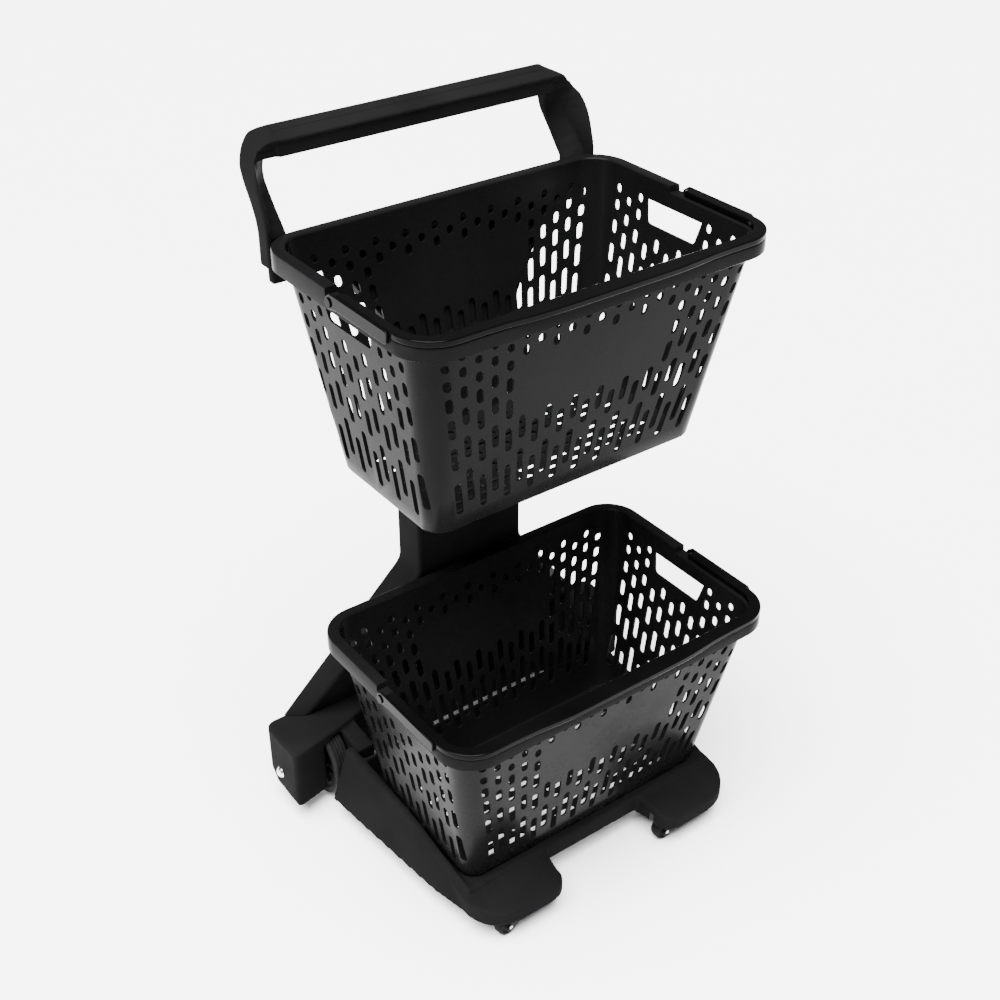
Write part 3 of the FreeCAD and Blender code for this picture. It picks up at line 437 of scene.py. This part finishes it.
def wall_frame(wall, across, drop):
    """Point on a wall's middle surface and its along, up and outward directions."""
    shift, stretch, bend = ROW_FIT[wall]
    z = TUB_TALL - (shift + stretch * drop + bend * drop * drop)
    half_x, half_y, _ = wall_size(z, WALL / 2)
    lean_x = (MOUTH_HALF[0] - FLOOR_HALF[0]) / TUB_TALL
    lean_y = (MOUTH_HALF[1] - FLOOR_HALF[1]) / TUB_TALL
    if wall in ("front", "back"):
        s = -1.0 if wall == "front" else 1.0
        middle = Vector((across * (1.0 - LONG_FAN * drop), s * half_y, z))
        up = Vector((LONG_FAN * across, s * lean_y, 1.0)).normalized()
        return middle, Vector((1, 0, 0)), up, Vector((0, s, 0))
    s = -1.0 if wall == "left" else 1.0
    middle = Vector((s * half_x, across * (1.0 - SIDE_FAN * drop), z))
    up = Vector((s * lean_x, SIDE_FAN * across, 1.0)).normalized()
    return middle, Vector((0, 1, 0)), up, Vector((s, 0, 0))


def add_slot(mesh, y0, z0, wall, across, drop, tall):
    """One slot of a wall, as a block that reaches through it."""
    middle, along, up, out = wall_frame(wall, across, drop)

    def put(u, v, w):
        p = middle + along * u + up * v + out * w
        return at(p.x, p.y + y0, p.z + z0)
    prism(mesh, slot_outline(SLOT_WIDE, tall), -SLOT_CUT, SLOT_CUT, put)


def tub_cutters(y0, z0):
    """All perforations of one basket as separate blocks: four walls, hand-holes and floor."""
    mesh = bmesh.new()
    for wall in ("front", "back"):
        for number in range(-10, 11):
            clear = None if abs(number) > 5 else lambda drop: not PLAIN_FROM < drop < PLAIN_TO
            for drop, tall in column_slots(number, clear):
                add_slot(mesh, y0, z0, wall, number * LONG_PITCH, drop, tall)
    for wall in ("left", "right"):
        for number in range(-5, 6):
            clear = None if abs(number) > 2 else lambda drop: drop > HAND_HOLE_END
            for drop, tall in column_slots(number, clear):
                add_slot(mesh, y0, z0, wall, number * SIDE_PITCH, drop, tall)
        add_hand_hole(mesh, y0, z0, wall)
    add_floor_slots(mesh, y0, z0)
    return mesh


def add_hand_hole(mesh, y0, z0, wall):
    """Trapezoid grip opening with rounded lower corners under the end's rim."""
    s = -1.0 if wall == "left" else 1.0
    top, low = TUB_TALL - 26.5, TUB_TALL - 56.0
    top_half, low_half, corner = 49.0, 36.5, 7.0
    shape = [(-top_half, top), (top_half, top)]
    shape += [(u + low_half, v + low + corner) for u, v in arc(0, 0, corner, -8, -90, 5)]
    shape += [(-low_half + u, v + low + corner) for u, v in arc(0, 0, corner, -90, -172, 5)]

    def put(u, v, w):
        return at(s * w, u + y0, v + z0)
    prism(mesh, shape[::-1], 212.0, 242.5, put)


def add_floor_slots(mesh, y0, z0):
    """Staggered rows of slots that run along the basket."""
    for row in range(-5, 6):
        for number in range(-4, 5):
            x = number * FLOOR_PITCH + (FLOOR_PITCH / 2 if row % 2 else 0.0)
            if abs(x) <= FLOOR_REACH:
                add_floor_slot(mesh, x, row * FLOOR_ROW, y0, z0)


def add_floor_slot(mesh, x, y, y0, z0):
    def put(u, v, w):
        return at(x + v, y - u + y0, z0 + w)
    prism(mesh, slot_outline(*FLOOR_SLOT), -3.0, 8.0, put)


def basket(level):
    """Perforated tub with rim, skirt and raised rear rim."""
    y0, z0 = LEVELS[level]
    mesh = bmesh.new()
    bridge(mesh, tub_rings(y0, z0))
    piece = make(level + "_perforated_basket", mesh, BASKET_BLACK, level + "_basket_body",
                 [level + "_basket"])
    cut(piece, tub_cutters(y0, z0), level + "_perforations")
    piece.data.materials.clear()
    piece.data.materials.append(BASKET_BLACK)
    smooth(piece, 28.0)


def bail_outline():
    """Plan of the folded bail: outer edge left to right, then the inner edge back."""
    outer = [(-250.0, -8.0)] + arc(-201.0, -115.0, 49.0, 180, 270, 14)
    grip = [(-170, -164.2), (-140, -165.2), (-112, -168.0), (-90, -169.6), (-60, -170.0)]
    outer += grip + [(-x, y) for x, y in grip[::-1]]
    outer += arc(201.0, -115.0, 49.0, 270, 360, 14) + [(250.0, -8.0)]
    inner = [(238.0, -8.0)] + arc(202.0, -111.5, 36.0, 0, -90, 12)
    inner += arc(-202.0, -111.5, 36.0, -90, -180, 12) + [(-238.0, -8.0)]
    return outer + inner


def bail(level):
    """Glossy flat carrying handle with two cheeks that run down to the pivots."""
    y0, z0 = LEVELS[level]
    top = z0 + TUB_TALL
    mesh = bmesh.new()
    plan = bail_outline()
    prism(mesh, plan, top - BAIL_THICK + 0.15, top, lambda u, v, w: at(u, v + y0, w))
    piece = make(level + "_bail_band", mesh, BAIL_BLACK, level + "_bail_body",
                 [level + "_bail"])
    soften(piece, 1.5, 3)
    for side in (-1, 1):
        bail_cheek(level, side)


def bail_cheek(level, side):
    """Outer cheek of the bail, from its band down round the pivot."""
    y0, z0 = LEVELS[level]
    top = z0 + TUB_TALL
    pivot = top - PIVOT_DROP
    shape = [(-112.0, top - 2.5), (-108.0, top - 0.2), (-2.0, top - 0.2)]
    shape += arc(0.0, pivot, 7.6, 60, -90, 8)
    shape += [(-16.0, top - 15.8), (-106.0, top - 15.8), (-111.0, top - 13.0)]
    mesh = bmesh.new()

    def put(u, v, w):
        return at(side * w, u + y0, v)
    prism(mesh, shape if side < 0 else shape[::-1], 250.35, 253.5, put)
    name = "%s_bail_cheek_%s" % (level, "left" if side < 0 else "right")
    soften(make(name, mesh, BAIL_BLACK, level + "_bail_body"), 0.9, 3)


# ------------------------------------------------------------------ frame mouldings

def rounded_section(front_half, back_half, front, back, r, steps=5):
    """Plan of the column at one height: a trapezoid with rounded front and back corners."""
    corners = [(-front_half, front), (front_half, front), (back_half, back), (-back_half, back)]
    points = []
    for k, here in enumerate(corners):
        before, after = Vector(corners[k - 1]), Vector(corners[(k + 1) % 4])
        here = Vector(here)
        a = here + (before - here).normalized() * r
        b = here + (after - here).normalized() * r
        for step in range(steps + 1):
            t = step / steps
            points.append(tuple((1 - t) ** 2 * a + 2 * t * (1 - t) * here + t ** 2 * b))
    return points


def column_levels():
    """(height, front half width, back half width, front y, back y) up the column, with a tight knee."""
    low = (122.2, 232.0, 260.0, 239.8, 261.0)
    knee = (344.0, 83.6, 85.0, 166.4, 218.4)
    top = (555.9, 83.25, 83.25, 166.0, 218.5)
    near, far = 0.955, (353.0, 83.25, 83.25, 166.0, 218.5)
    levels = [tuple(a + (b - a) * t for a, b in zip(low, knee)) for t in (0.0, 0.25, 0.5, 0.75, near)]
    start = levels[-1]
    for t in (0.25, 0.5, 0.75, 1.0):
        levels.append(tuple((1 - t) ** 2 * a + 2 * t * (1 - t) * m + t ** 2 * b
                            for a, m, b in zip(start, knee, far)))
    levels.append(top)
    return levels


def column():
    """Upright moulding: flared low panel, tight knee, straight upper part."""
    mesh = bmesh.new()
    rings = []
    for z, front_half, back_half, front, back in column_levels():
        rings.append([at(x, y, z) for x, y in rounded_section(front_half, back_half, front, back, 6.0)])
    bridge(mesh, rings)
    piece = make("column_moulding", mesh, FRAME_BLACK, "frame", ["column"])
    soften(piece, 1.0, 2, 50.0)


def yoke():
    """Leaning back frame, hollow behind, with the cross beam that carries the handle."""
    mesh = bmesh.new()
    levels = [(556.2, 82.8, 159.8, 211.8), (700.0, 92.0, 187.0, 226.0), (786.0, 150.0, 206.0, 243.0),
              (804.5, 184.0, 210.5, 245.0)]
    loft(mesh, [[(-half, front, z), (half, front, z), (half, back, z), (-half, back, z)]
                for z, half, front, back in levels])
    block(mesh, (-230.3, 230.3), (226.2, 238.6), (784.2, 816.8))
    for side in (-1, 1):
        block(mesh, span(side, 204.5, 230.3), (226.2, 238.6), (810.0, 833.5))
    recess = bmesh.new()
    end_plate(recess, [(-64, 590), (64, 590), (80, 730), (-80, 730)], 197.5, 300.0)
    piece = make("yoke_moulding", mesh, FRAME_BLACK, "frame", ["yoke"])
    mould(piece, 1.8, 5, 0.3, [recess])


def shelf():
    """Ribbed bracket on the column that holds up the upper basket's floor."""
    mesh = bmesh.new()
    top = [(158.4, 565.6), (30.2, 565.6), (30.2, 561.2), (158.4, 558.5)]
    side_plate(mesh, top, -74.8, 74.8)
    cheek = [(165.8, 490.2), (161.0, 490.2), (152.0, 545.0), (30.2, 560.0), (30.2, 564.5), (158.4, 564.5),
             (158.4, 555.8), (165.8, 555.8)]
    for x in (-72.4, -25.0, 25.0, 72.4):
        side_plate(mesh, cheek, x - 2.4, x + 2.4)
    side_plate(mesh, [(165.8, 490.2), (161.0, 490.2), (161.0, 555.8), (165.8, 555.8)], -74.8, 74.8)
    piece = make("shelf_bracket", mesh, FRAME_BLACK, "frame", ["basket_shelf"])
    mould(piece, 1.3, 3, 0.3)


# ------------------------------------------------------------------ base

# rear beam: x, front y, back y
BEAM_FRONT = ((287.5, 181.0, 251.0), (283.5, 178.5, 258.0), (276.0, 179.0, 261.9), (225.0, 190.0, 261.9),
              (198.0, 196.0, 261.9), (150.0, 212.0, 261.9))
# side arm: y, outer x at the bottom, outer and inner x of the ridge, ridge height
ARM_SECTIONS = ((-112.0, 213.0, 206.0, 201.5, 66.0), (-60.0, 223.5, 208.5, 203.0, 80.0),
                (0.0, 229.0, 210.0, 203.8, 95.0), (100.0, 238.0, 213.0, 204.5, 107.0),
                (162.0, 243.0, 218.0, 207.0, 111.0))
BASE_LOW = 31.5
LEDGE = 64.8
WHEEL_Y = 225.0
WHEEL_Z = 58.5
WELL_RADIUS = 61.0
WELL_IN, WELL_OUT = 203.0, 235.0


def beam_section(x, front, back):
    """Slice of the rear beam at one x: flat top, sloped underside behind the axle."""
    toe = min(238.0, back - 12.0)
    return [(x, front, 27.5), (x, front, 121.9), (x, back, 121.9), (x, back, 48.0), (x, toe, 31.5)]


def rear_beam(mesh):
    """Beam across the back, with a housing at each end."""
    stations = [(-x, front, back) for x, front, back in BEAM_FRONT]
    stations += [(x, front, back) for x, front, back in BEAM_FRONT[::-1]]
    loft(mesh, [beam_section(*station) for station in stations])


def side_arm(mesh, side):
    """Arm from the beam to the foot: sloped outer face, rounded ridge, inner ledge."""
    sections = []
    for y, low_out, ridge_out, ridge_in, ridge in ARM_SECTIONS:
        shape = [(178.0, BASE_LOW), (low_out, BASE_LOW), (ridge_out, ridge - 1.5), (ridge_out - 2.0, ridge),
                 (ridge_in, ridge), (197.0, LEDGE), (178.0, LEDGE)]
        sections.append([(side * x, y, z) for x, z in shape])
    loft(mesh, sections)


def foot(mesh, side):
    """Broad rounded foot over one castor, its top falling towards the front."""
    plan = [(77.5, -84.0), (78.5, -104.0), (84.0, -132.0)]
    plan += arc(106.0, -142.5, 22.5, 195, 270, 5)
    plan += arc(162.0, -114.0, 51.0, 270, 360, 10)
    plan += [(213.0, -84.0)]

    def top(y):
        return 63.0 if y > -100.0 else 63.0 + (y + 100.0) * 0.17
    low = [at(side * x, y, BASE_LOW) for x, y in plan]
    high = [at(side * x, y, top(y)) for x, y in plan]
    bridge(mesh, [low, high])


def arm_root(mesh, side):
    """Thick inner wall that joins an arm to the beam on the basket's side of the wheel."""
    root = [(150.0, BASE_LOW), (214.0, BASE_LOW), (214.0, 118.0), (190.0, 112.0), (150.0, 108.0)]
    side_plate(mesh, root, *span(side, 178.0, WELL_IN))


def base_cutters():
    """Wheel wells, moulded hollows under housings and feet."""
    mesh = bmesh.new()
    for side in (-1, 1):
        well = arc(WHEEL_Y, WHEEL_Z, WELL_RADIUS, 0, 180, 18)
        well += [(WHEEL_Y - WELL_RADIUS, 8.0), (WHEEL_Y + WELL_RADIUS, 8.0)]
        side_plate(mesh, well, *span(side, WELL_IN, WELL_OUT))
        hollow = [(239, 193), (280, 187), (280, 257), (239, 257)]
        prism(mesh, mirrored(hollow, side), 5.0, 116.0, at)
        under = [(84, -84), (84, -134), (102, -158), (162, -158), (196, -138), (206, -114), (206, -84)]
        prism(mesh, mirrored(under, side), 5.0, 46.0, at)
    block(mesh, (-172.0, 172.0), (217.5, 257.5), (5.0, 117.5))
    return mesh


def base():
    """Rear beam, housings, arms, feet and cross member as one black moulding."""
    mesh = bmesh.new()
    rear_beam(mesh)
    for side in (-1, 1):
        side_arm(mesh, side)
        foot(mesh, side)
        arm_root(mesh, side)
    block(mesh, (-190.0, 190.0), (-110.0, -82.0), (38.0, LEDGE))
    block(mesh, (-205.0, 205.0), (128.0, 134.0), (50.0, 108.0))
    piece = make("base_moulding", mesh, FRAME_BLACK, "frame", ["base_frame"])
    mould(piece, 2.0, 6, 0.3, [base_cutters()])
    castor_bosses()


def castor_bosses():
    """Round sockets under the feet that take the castor sleeves."""
    mesh = bmesh.new()
    profile = [(BASE_LOW, 7.3), (BASE_LOW, 11.2), (32.3, 12.0), (48.0, 12.0), (48.0, 7.3)]
    for side in (-1, 1):
        turned(mesh, profile, at(side * CASTOR_X, CASTOR_Y, 0.0), (0, 0, 1), 40)
    piece = make("castor_bosses", mesh, FRAME_BLACK, "frame")
    smooth(piece, 40.0)


# ------------------------------------------------------------------ handle

# height, skin front y and back y, web half x and y, inner front y and back y
POST_LEVELS = ((836, 219.0, 240.0, 229, 229, 235, 246), (850, 219.0, 240.5, 228, 236, 247, 258),
               (860, 221.0, 242.5, 226, 243, 256, 266), (870, 224.0, 246.0, 224, 250, 264, 274),
               (880, 227.0, 251.0, 222, 257, 272, 283), (890, 231.0, 256.5, 221, 261, 279, 291),
               (900, 236.0, 262.0, 221, 260, 281, 295), (910, 241.0, 266.0, 221, 258, 280, 297),
               (931, 250.5, 269.0, 221, 257, 276, 297))
BAR_PROFILE = ((254.6, 919.6), (254.6, 936.2), (251.4, 938.0), (251.8, 940.6), (254.0, 942.2), (264.5, 946.4),
               (266.6, 944.9), (269.5, 947.4), (278.0, 949.8), (284.0, 949.0), (292.0, 945.6), (298.0, 941.0),
               (299.8, 936.0), (299.8, 923.0), (298.0, 919.6))
LOOP_HALF = 237.0
BAR_HALF = 193.0


def handle_end(mesh, side):
    """One post of the loop with its set-back web, its foot and its share of the bar."""
    sections = []
    for z, skin_front, skin_back, web_half, web, inner_front, inner_back in POST_LEVELS:
        bulge = 9.0 * min(max((z - 845.0) / 70.0, 0.0), 1.0)
        middle = (LOOP_HALF + 207.0) / 2 + bulge * 0.7, (skin_back + inner_back) / 2 + 1.0 + bulge * 0.7
        shape = [(LOOP_HALF - 0.2, skin_front), (LOOP_HALF - 0.2, skin_back + bulge * 0.4), middle,
                 (207.0, inner_back + 2.0), (202.0, inner_back), (202.0, inner_front), (web_half, web),
                 (231.0, skin_front + 0.5)]
        sections.append([(side * x, y, z) for x, y in shape])
    loft(mesh, sections)
    seat = [(236.8, 219.0), (236.8, 240.0), (229.0, 248.8), (202.2, 248.8), (202.2, 239.0), (231.0, 239.0),
            (231.0, 219.0)]
    prism(mesh, mirrored(seat, side), 806.5, 838.0, at)
    side_plate(mesh, BAR_PROFILE, *span(side, BAR_HALF - 1.0, LOOP_HALF))
    fillet = [(203.0, 924.0), (189.0, 924.0)] + arc(189.0, 907.5, 13.0, 90, 0, 6) + [(203.0, 907.5)]
    end_plate(mesh, mirrored(fillet, side), 278.0, 297.0)


def handle_cutters(side):
    """Blocks that round the loop's top corner and the bar's rear end, and hollow it under its lip."""
    above = bmesh.new()
    bend = arc(177.0, 890.0, 60.0, 0, 90, 15) + [(177.0, 960.0), (245.0, 960.0), (245.0, 890.0)]
    end_plate(above, mirrored(bend, side), 200.0, 320.0)
    behind = bmesh.new()
    sweep = arc(197.0, 260.0, 40.0, 0, 90, 15) + [(197.0, 310.0), (246.0, 310.0), (246.0, 260.0)]
    prism(behind, mirrored(sweep, side), 850.0, 958.0, at)
    under_lip = bmesh.new()
    recess = [(240, 900), (257.5, 900), (257.5, 932), (240, 932)]
    side_plate(under_lip, recess, *span(side, 196.0, 222.0))
    return [above, behind, under_lip]


def handle():
    """Loop handle: ridged grip bar and two moulded ends."""
    mesh = bmesh.new()
    side_plate(mesh, BAR_PROFILE, -BAR_HALF, BAR_HALF)
    bar = make("grip_bar", mesh, FRAME_BLACK, "frame", ["handle_loop"])
    soften(bar, 0.7, 2, 20.0)
    for side in (-1, 1):
        mesh = bmesh.new()
        handle_end(mesh, side)
        name = "handle_end_left" if side < 0 else "handle_end_right"
        end = make(name, mesh, FRAME_BLACK, "frame")
        mould(end, 1.2, 12, 0.3, handle_cutters(side))


# ------------------------------------------------------------------ wheels and castors

WHEEL_MIDDLE = 219.0
WHEEL_SPOKES = 6


def rear_wheel(name, side):
    """Grooved tyre on a ribbed plastic core with round holes between the ribs."""
    middle = at(side * WHEEL_MIDDLE, WHEEL_Y, WHEEL_Z)
    tread = [(-12.0, 49.1), (12.0, 49.1), (13.0, 51.6), (12.6, 56.0), (10.6, 57.9), (9.0, 58.4)]
    for groove in (6.6, 2.2, -2.2, -6.6):
        tread += [(groove + 0.9, 58.4), (groove + 0.6, 56.6), (groove - 0.6, 56.6), (groove - 0.9, 58.4)]
    tread += [(-9.0, 58.4), (-10.6, 57.9), (-12.6, 56.0), (-13.0, 51.6)]
    mesh = bmesh.new()
    turned(mesh, tread, middle, (1, 0, 0), 96)
    body = name + "_rear_wheel"
    smooth(make(name + "_tyre_tread", mesh, TYRE, body, [name + "_rear_tyre"]), 35.0)
    disc = [(-13.0, 5.06), (13.0, 5.06), (13.0, 11.2), (12.2, 12.0), (4.0, 14.0), (3.0, 40.0), (10.0, 43.0),
            (10.0, 49.0)]
    disc += [(-along, radius) for along, radius in disc[:1:-1]]
    mesh = bmesh.new()
    turned(mesh, disc, middle, (1, 0, 0), 96)
    core = make(name + "_wheel_disc", mesh, WHEEL_GREY, body, [name + "_rear_wheel_core"])
    holes = bmesh.new()
    for k in range(WHEEL_SPOKES):
        a = math.radians(60.0 * k + 30.0)
        spot = middle + Vector((0, math.cos(a), math.sin(a))) * 27.0 * MM
        drill(holes, spot, (1, 0, 0), 6.5, 20.0)
    cut(core, holes, name + "_lightening_holes")
    smooth(core, 35.0)
    mesh = bmesh.new()
    rib = [(-9.0, 11.0), (9.0, 11.0), (8.0, 43.5), (-8.0, 43.5)]
    for k in range(WHEEL_SPOKES):
        a = math.radians(60.0 * k)
        out = Vector((0, math.cos(a), math.sin(a)))
        along = Vector((0, -math.sin(a), math.cos(a)))
        skewed_block(mesh, rib, -1.5, 1.5, middle, (Vector((1, 0, 0)), out, along))
    ribs = make(name + "_wheel_ribs", mesh, WHEEL_GREY, body)
    soften(ribs, 0.6, 2)


def drill(mesh, middle, axis, radius, half, steps=24):
    """A short closed cylinder centred on a point, for cutting a round hole."""
    axis = Vector(axis)
    side = axis.orthogonal().normalized()
    other = axis.cross(side)
    ring = []
    for k in range(steps):
        a = 2 * math.pi * k / steps
        ring.append(side * math.cos(a) * radius + other * math.sin(a) * radius)
    bridge(mesh, [[middle + (p + axis * end) * MM for p in ring] for end in (-half, half)])


CASTOR_X = 136.5
CASTOR_Y = -141.0
CASTOR_TRAIL = 35.0
CASTOR_Z = 15.2
# which way each castor trails at rest, as in the photograph; degrees from +X
CASTOR_YAW = {"left": 185.0, "right": 177.0}


def castor(name, side):
    """Swivel castor: rounded fork over a small rubber-tyred wheel."""
    yaw = math.radians(CASTOR_YAW[name])
    ahead = Vector((math.cos(yaw), math.sin(yaw), 0))
    across = Vector((-math.sin(yaw), math.cos(yaw), 0))
    pivot = at(side * CASTOR_X, CASTOR_Y, 0.0)

    def put(u, v, w):
        return pivot + (ahead * u + across * v + Vector((0, 0, w))) * MM
    mesh = bmesh.new()
    crown = arc(0.0, 0.0, 10.6, 90, 270, 12) + [(18.0, -11.5), (18.0, 11.5)]
    prism(mesh, crown, 24.0, 30.5, put)
    cheek = [(4.0, 24.5), (28.0, 11.5), (33.0, 9.2)] + arc(36.0, 14.0, 5.2, -60, 40, 6)
    cheek += [(30.0, 29.8), (4.0, 29.8)]
    for v in (-11.5, 8.9):
        prism(mesh, cheek, v, v + 2.6, lambda a, b, c: put(a, c, b))
    fork = make(name + "_castor_yoke", mesh, WHEEL_GREY, name + "_castor_swivel",
                [name + "_castor_fork"])
    mould(fork, 0.7, 3, 0.3)
    tread = [(-7.8, 2.7), (7.8, 2.7), (8.0, 4.8), (6.6, 6.0), (6.4, 10.2), (8.0, 11.4), (7.9, 12.8),
             (6.8, 14.3), (4.5, 15.1), (1.5, 15.2)]
    tread += [(-along, radius) for along, radius in tread[:1:-1]]
    mesh = bmesh.new()
    turned(mesh, tread, put(CASTOR_TRAIL, 0.0, CASTOR_Z), across, 64)
    wheel = make(name + "_castor_tread", mesh, CASTOR_RUBBER, name + "_castor_roller",
                 [name + "_castor_wheel"])
    smooth(wheel, 40.0)


# ------------------------------------------------------------------ screws

# spots under the heads, direction into the frame, head radius, head height, shank radius
SCREWS = {
    "column_screws": ([(x, 240.0, 118.0) for x in (-120, -50, 50, 120)], (0, 0, 1), 6.0, 3.0, 3.0),
    "shelf_screws": ([(x, 161.0, z) for x in (-45, 45) for z in (505.0, 535.0)], (0, 1, 0), 5.0, 2.6, 2.5),
    "yoke_screws": ([(x, 218.5, 545.0) for x in (-55, 55)], (0, -1, 0), 5.0, 2.6, 2.5),
    "loop_screws": ([(x, 249.0, 820.0) for x in (-223, -211, 211, 223)], (0, -1, 0), 4.5, 2.4, 2.0),
}


def screw_group(name):
    """Pan-head screws with a cross recess; each spot is the underside of a head."""
    spots, into, head, tall, shank = SCREWS[name]
    into = Vector(into)
    heads = bmesh.new()
    crosses = bmesh.new()
    profile = [(9.0, 0.01), (9.0, shank), (0.0, shank), (0.0, head), (-tall * 0.35, head),
               (-tall * 0.75, head * 0.86), (-tall * 0.95, head * 0.55), (-tall, 0.01)]
    reach, half_wide = head * 0.45, 0.45
    bar = [(-reach, -half_wide), (reach, -half_wide), (reach, half_wide), (-reach, half_wide)]
    for x, y, z in spots:
        turned(heads, profile, at(x, y, z), into, 32)
        across = into.orthogonal().normalized()
        other = into.cross(across)
        for a, b in ((across, other), (other, across)):
            skewed_block(crosses, bar, -tall - 1.0, -tall * 0.35, at(x, y, z), (a, b, into))
    piece = make(name + "_heads", heads, SCREW_STEEL, "frame", [name])
    cut(piece, crosses, piece.name + "_recesses", "EXACT")
    smooth(piece, 35.0)


def paint_cad():
    """CAD pieces whose own shape is right keep it and get a real finish."""
    finishes = {"rear_axle": AXLE_STEEL}
    for side in ("left", "right"):
        finishes[side + "_inner_bush"] = BUSH_GREY
        finishes[side + "_outer_bush"] = BUSH_GREY
        finishes[side + "_wheel_spacer"] = BUSH_GREY
        finishes[side + "_axle_cap"] = CAP_STEEL
        finishes[side + "_castor_axle"] = AXLE_STEEL
        finishes[side + "_castor_stem"] = AXLE_STEEL
        finishes[side + "_castor_sleeve"] = BUSH_GREY
    for level in LEVELS:
        finishes[level + "_bail_pins"] = BAIL_BLACK
    for name, material in finishes.items():
        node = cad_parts[name]
        node.data.materials.clear()
        node.data.materials.append(material)


# ------------------------------------------------------------------ stage

def stage():
    """Plain pale floor."""
    mesh = bmesh.new()
    half = 60.0
    below = -0.0006
    signs = ((-1, -1), (1, -1), (1, 1), (-1, 1))
    mesh.faces.new([mesh.verts.new((sx * half, sy * half, below)) for sx, sy in signs])
    data = bpy.data.meshes.new("floor")
    mesh.to_mesh(data)
    mesh.free()
    floor = bpy.data.objects.new("studio_floor", data)
    bpy.context.scene.collection.objects.link(floor)
    n = Nodes("studio_floor")
    n.link(n.mix(n.noise(1.5, 2.0), (0.94, 0.94, 0.94), (0.96, 0.96, 0.96)), n.shader.inputs["Base Color"])
    n.shader.inputs["Roughness"].default_value = 0.9
    n.shader.inputs["Specular IOR Level"].default_value = 0.1
    floor.data.materials.append(n.material)


def softbox(name, where, target, wide, tall, power):
    """A rectangular lamp turned towards a point."""
    lamp = bpy.data.lights.new(name, "AREA")
    lamp.shape = "RECTANGLE"
    lamp.size = wide
    lamp.size_y = tall
    lamp.energy = power
    piece = bpy.data.objects.new(name, lamp)
    piece.location = where
    piece.rotation_euler = (Vector(target) - Vector(where)).to_track_quat("-Z", "Y").to_euler()
    bpy.context.scene.collection.objects.link(piece)


def lights():
    """A wide, strong overhead source that whitens the floor, and a softbox on the left."""
    overhead = bpy.data.lights.new("overhead", "SUN")
    overhead.energy = 22.0
    overhead.angle = math.radians(50.0)
    piece = bpy.data.objects.new("overhead", overhead)
    piece.rotation_euler = (math.radians(8.0), math.radians(-14.0), 0.0)
    bpy.context.scene.collection.objects.link(piece)
    softbox("left_softbox", (-3.4, 0.3, 0.9), (0, 0, 0.45), 2.2, 1.6, 90.0)
    world = bpy.data.worlds.new("studio")
    bpy.context.scene.world = world
    world.use_nodes = True
    world.node_tree.nodes["Background"].inputs["Color"].default_value = (1.0, 1.0, 1.0, 1.0)
    world.node_tree.nodes["Background"].inputs["Strength"].default_value = 0.3


# the photograph's view: azimuth, elevation and roll in degrees, place in the drawing, lens in mm
CAMERA_ANGLES = (-36.577, 33.40, 0.128)
CAMERA_PLACE = (-936.6, -1161.7, 1503.6)
CAMERA_LENS = 52.807


def camera():
    """The photograph's viewing angle."""
    azimuth, elevation, roll = (math.radians(a) for a in CAMERA_ANGLES)
    forward = Vector((-math.sin(azimuth) * math.cos(elevation), math.cos(azimuth) * math.cos(elevation),
                      -math.sin(elevation)))
    right = Vector((math.cos(azimuth), math.sin(azimuth), 0.0))
    up = right.cross(forward)
    right, up = (right * math.cos(roll) + up * math.sin(roll), up * math.cos(roll) - right * math.sin(roll))
    turn = Matrix((right, up, -forward)).transposed()
    data = bpy.data.cameras.new("camera")
    data.lens = CAMERA_LENS
    data.sensor_width = 36.0
    data.clip_end = 60.0
    piece = bpy.data.objects.new("camera", data)
    piece.matrix_world = Matrix.Translation(at(*CAMERA_PLACE)) @ turn.to_4x4()
    bpy.context.scene.collection.objects.link(piece)
    bpy.context.scene.camera = piece


# ------------------------------------------------------------------ build

for level in LEVELS:
    basket(level)
    bail(level)
column()
yoke()
shelf()
base()
handle()
for name, side in (("left", -1), ("right", 1)):
    rear_wheel(name, side)
    castor(name, side)
for name in SCREWS:
    screw_group(name)
paint_cad()
stage()
lights()
camera()
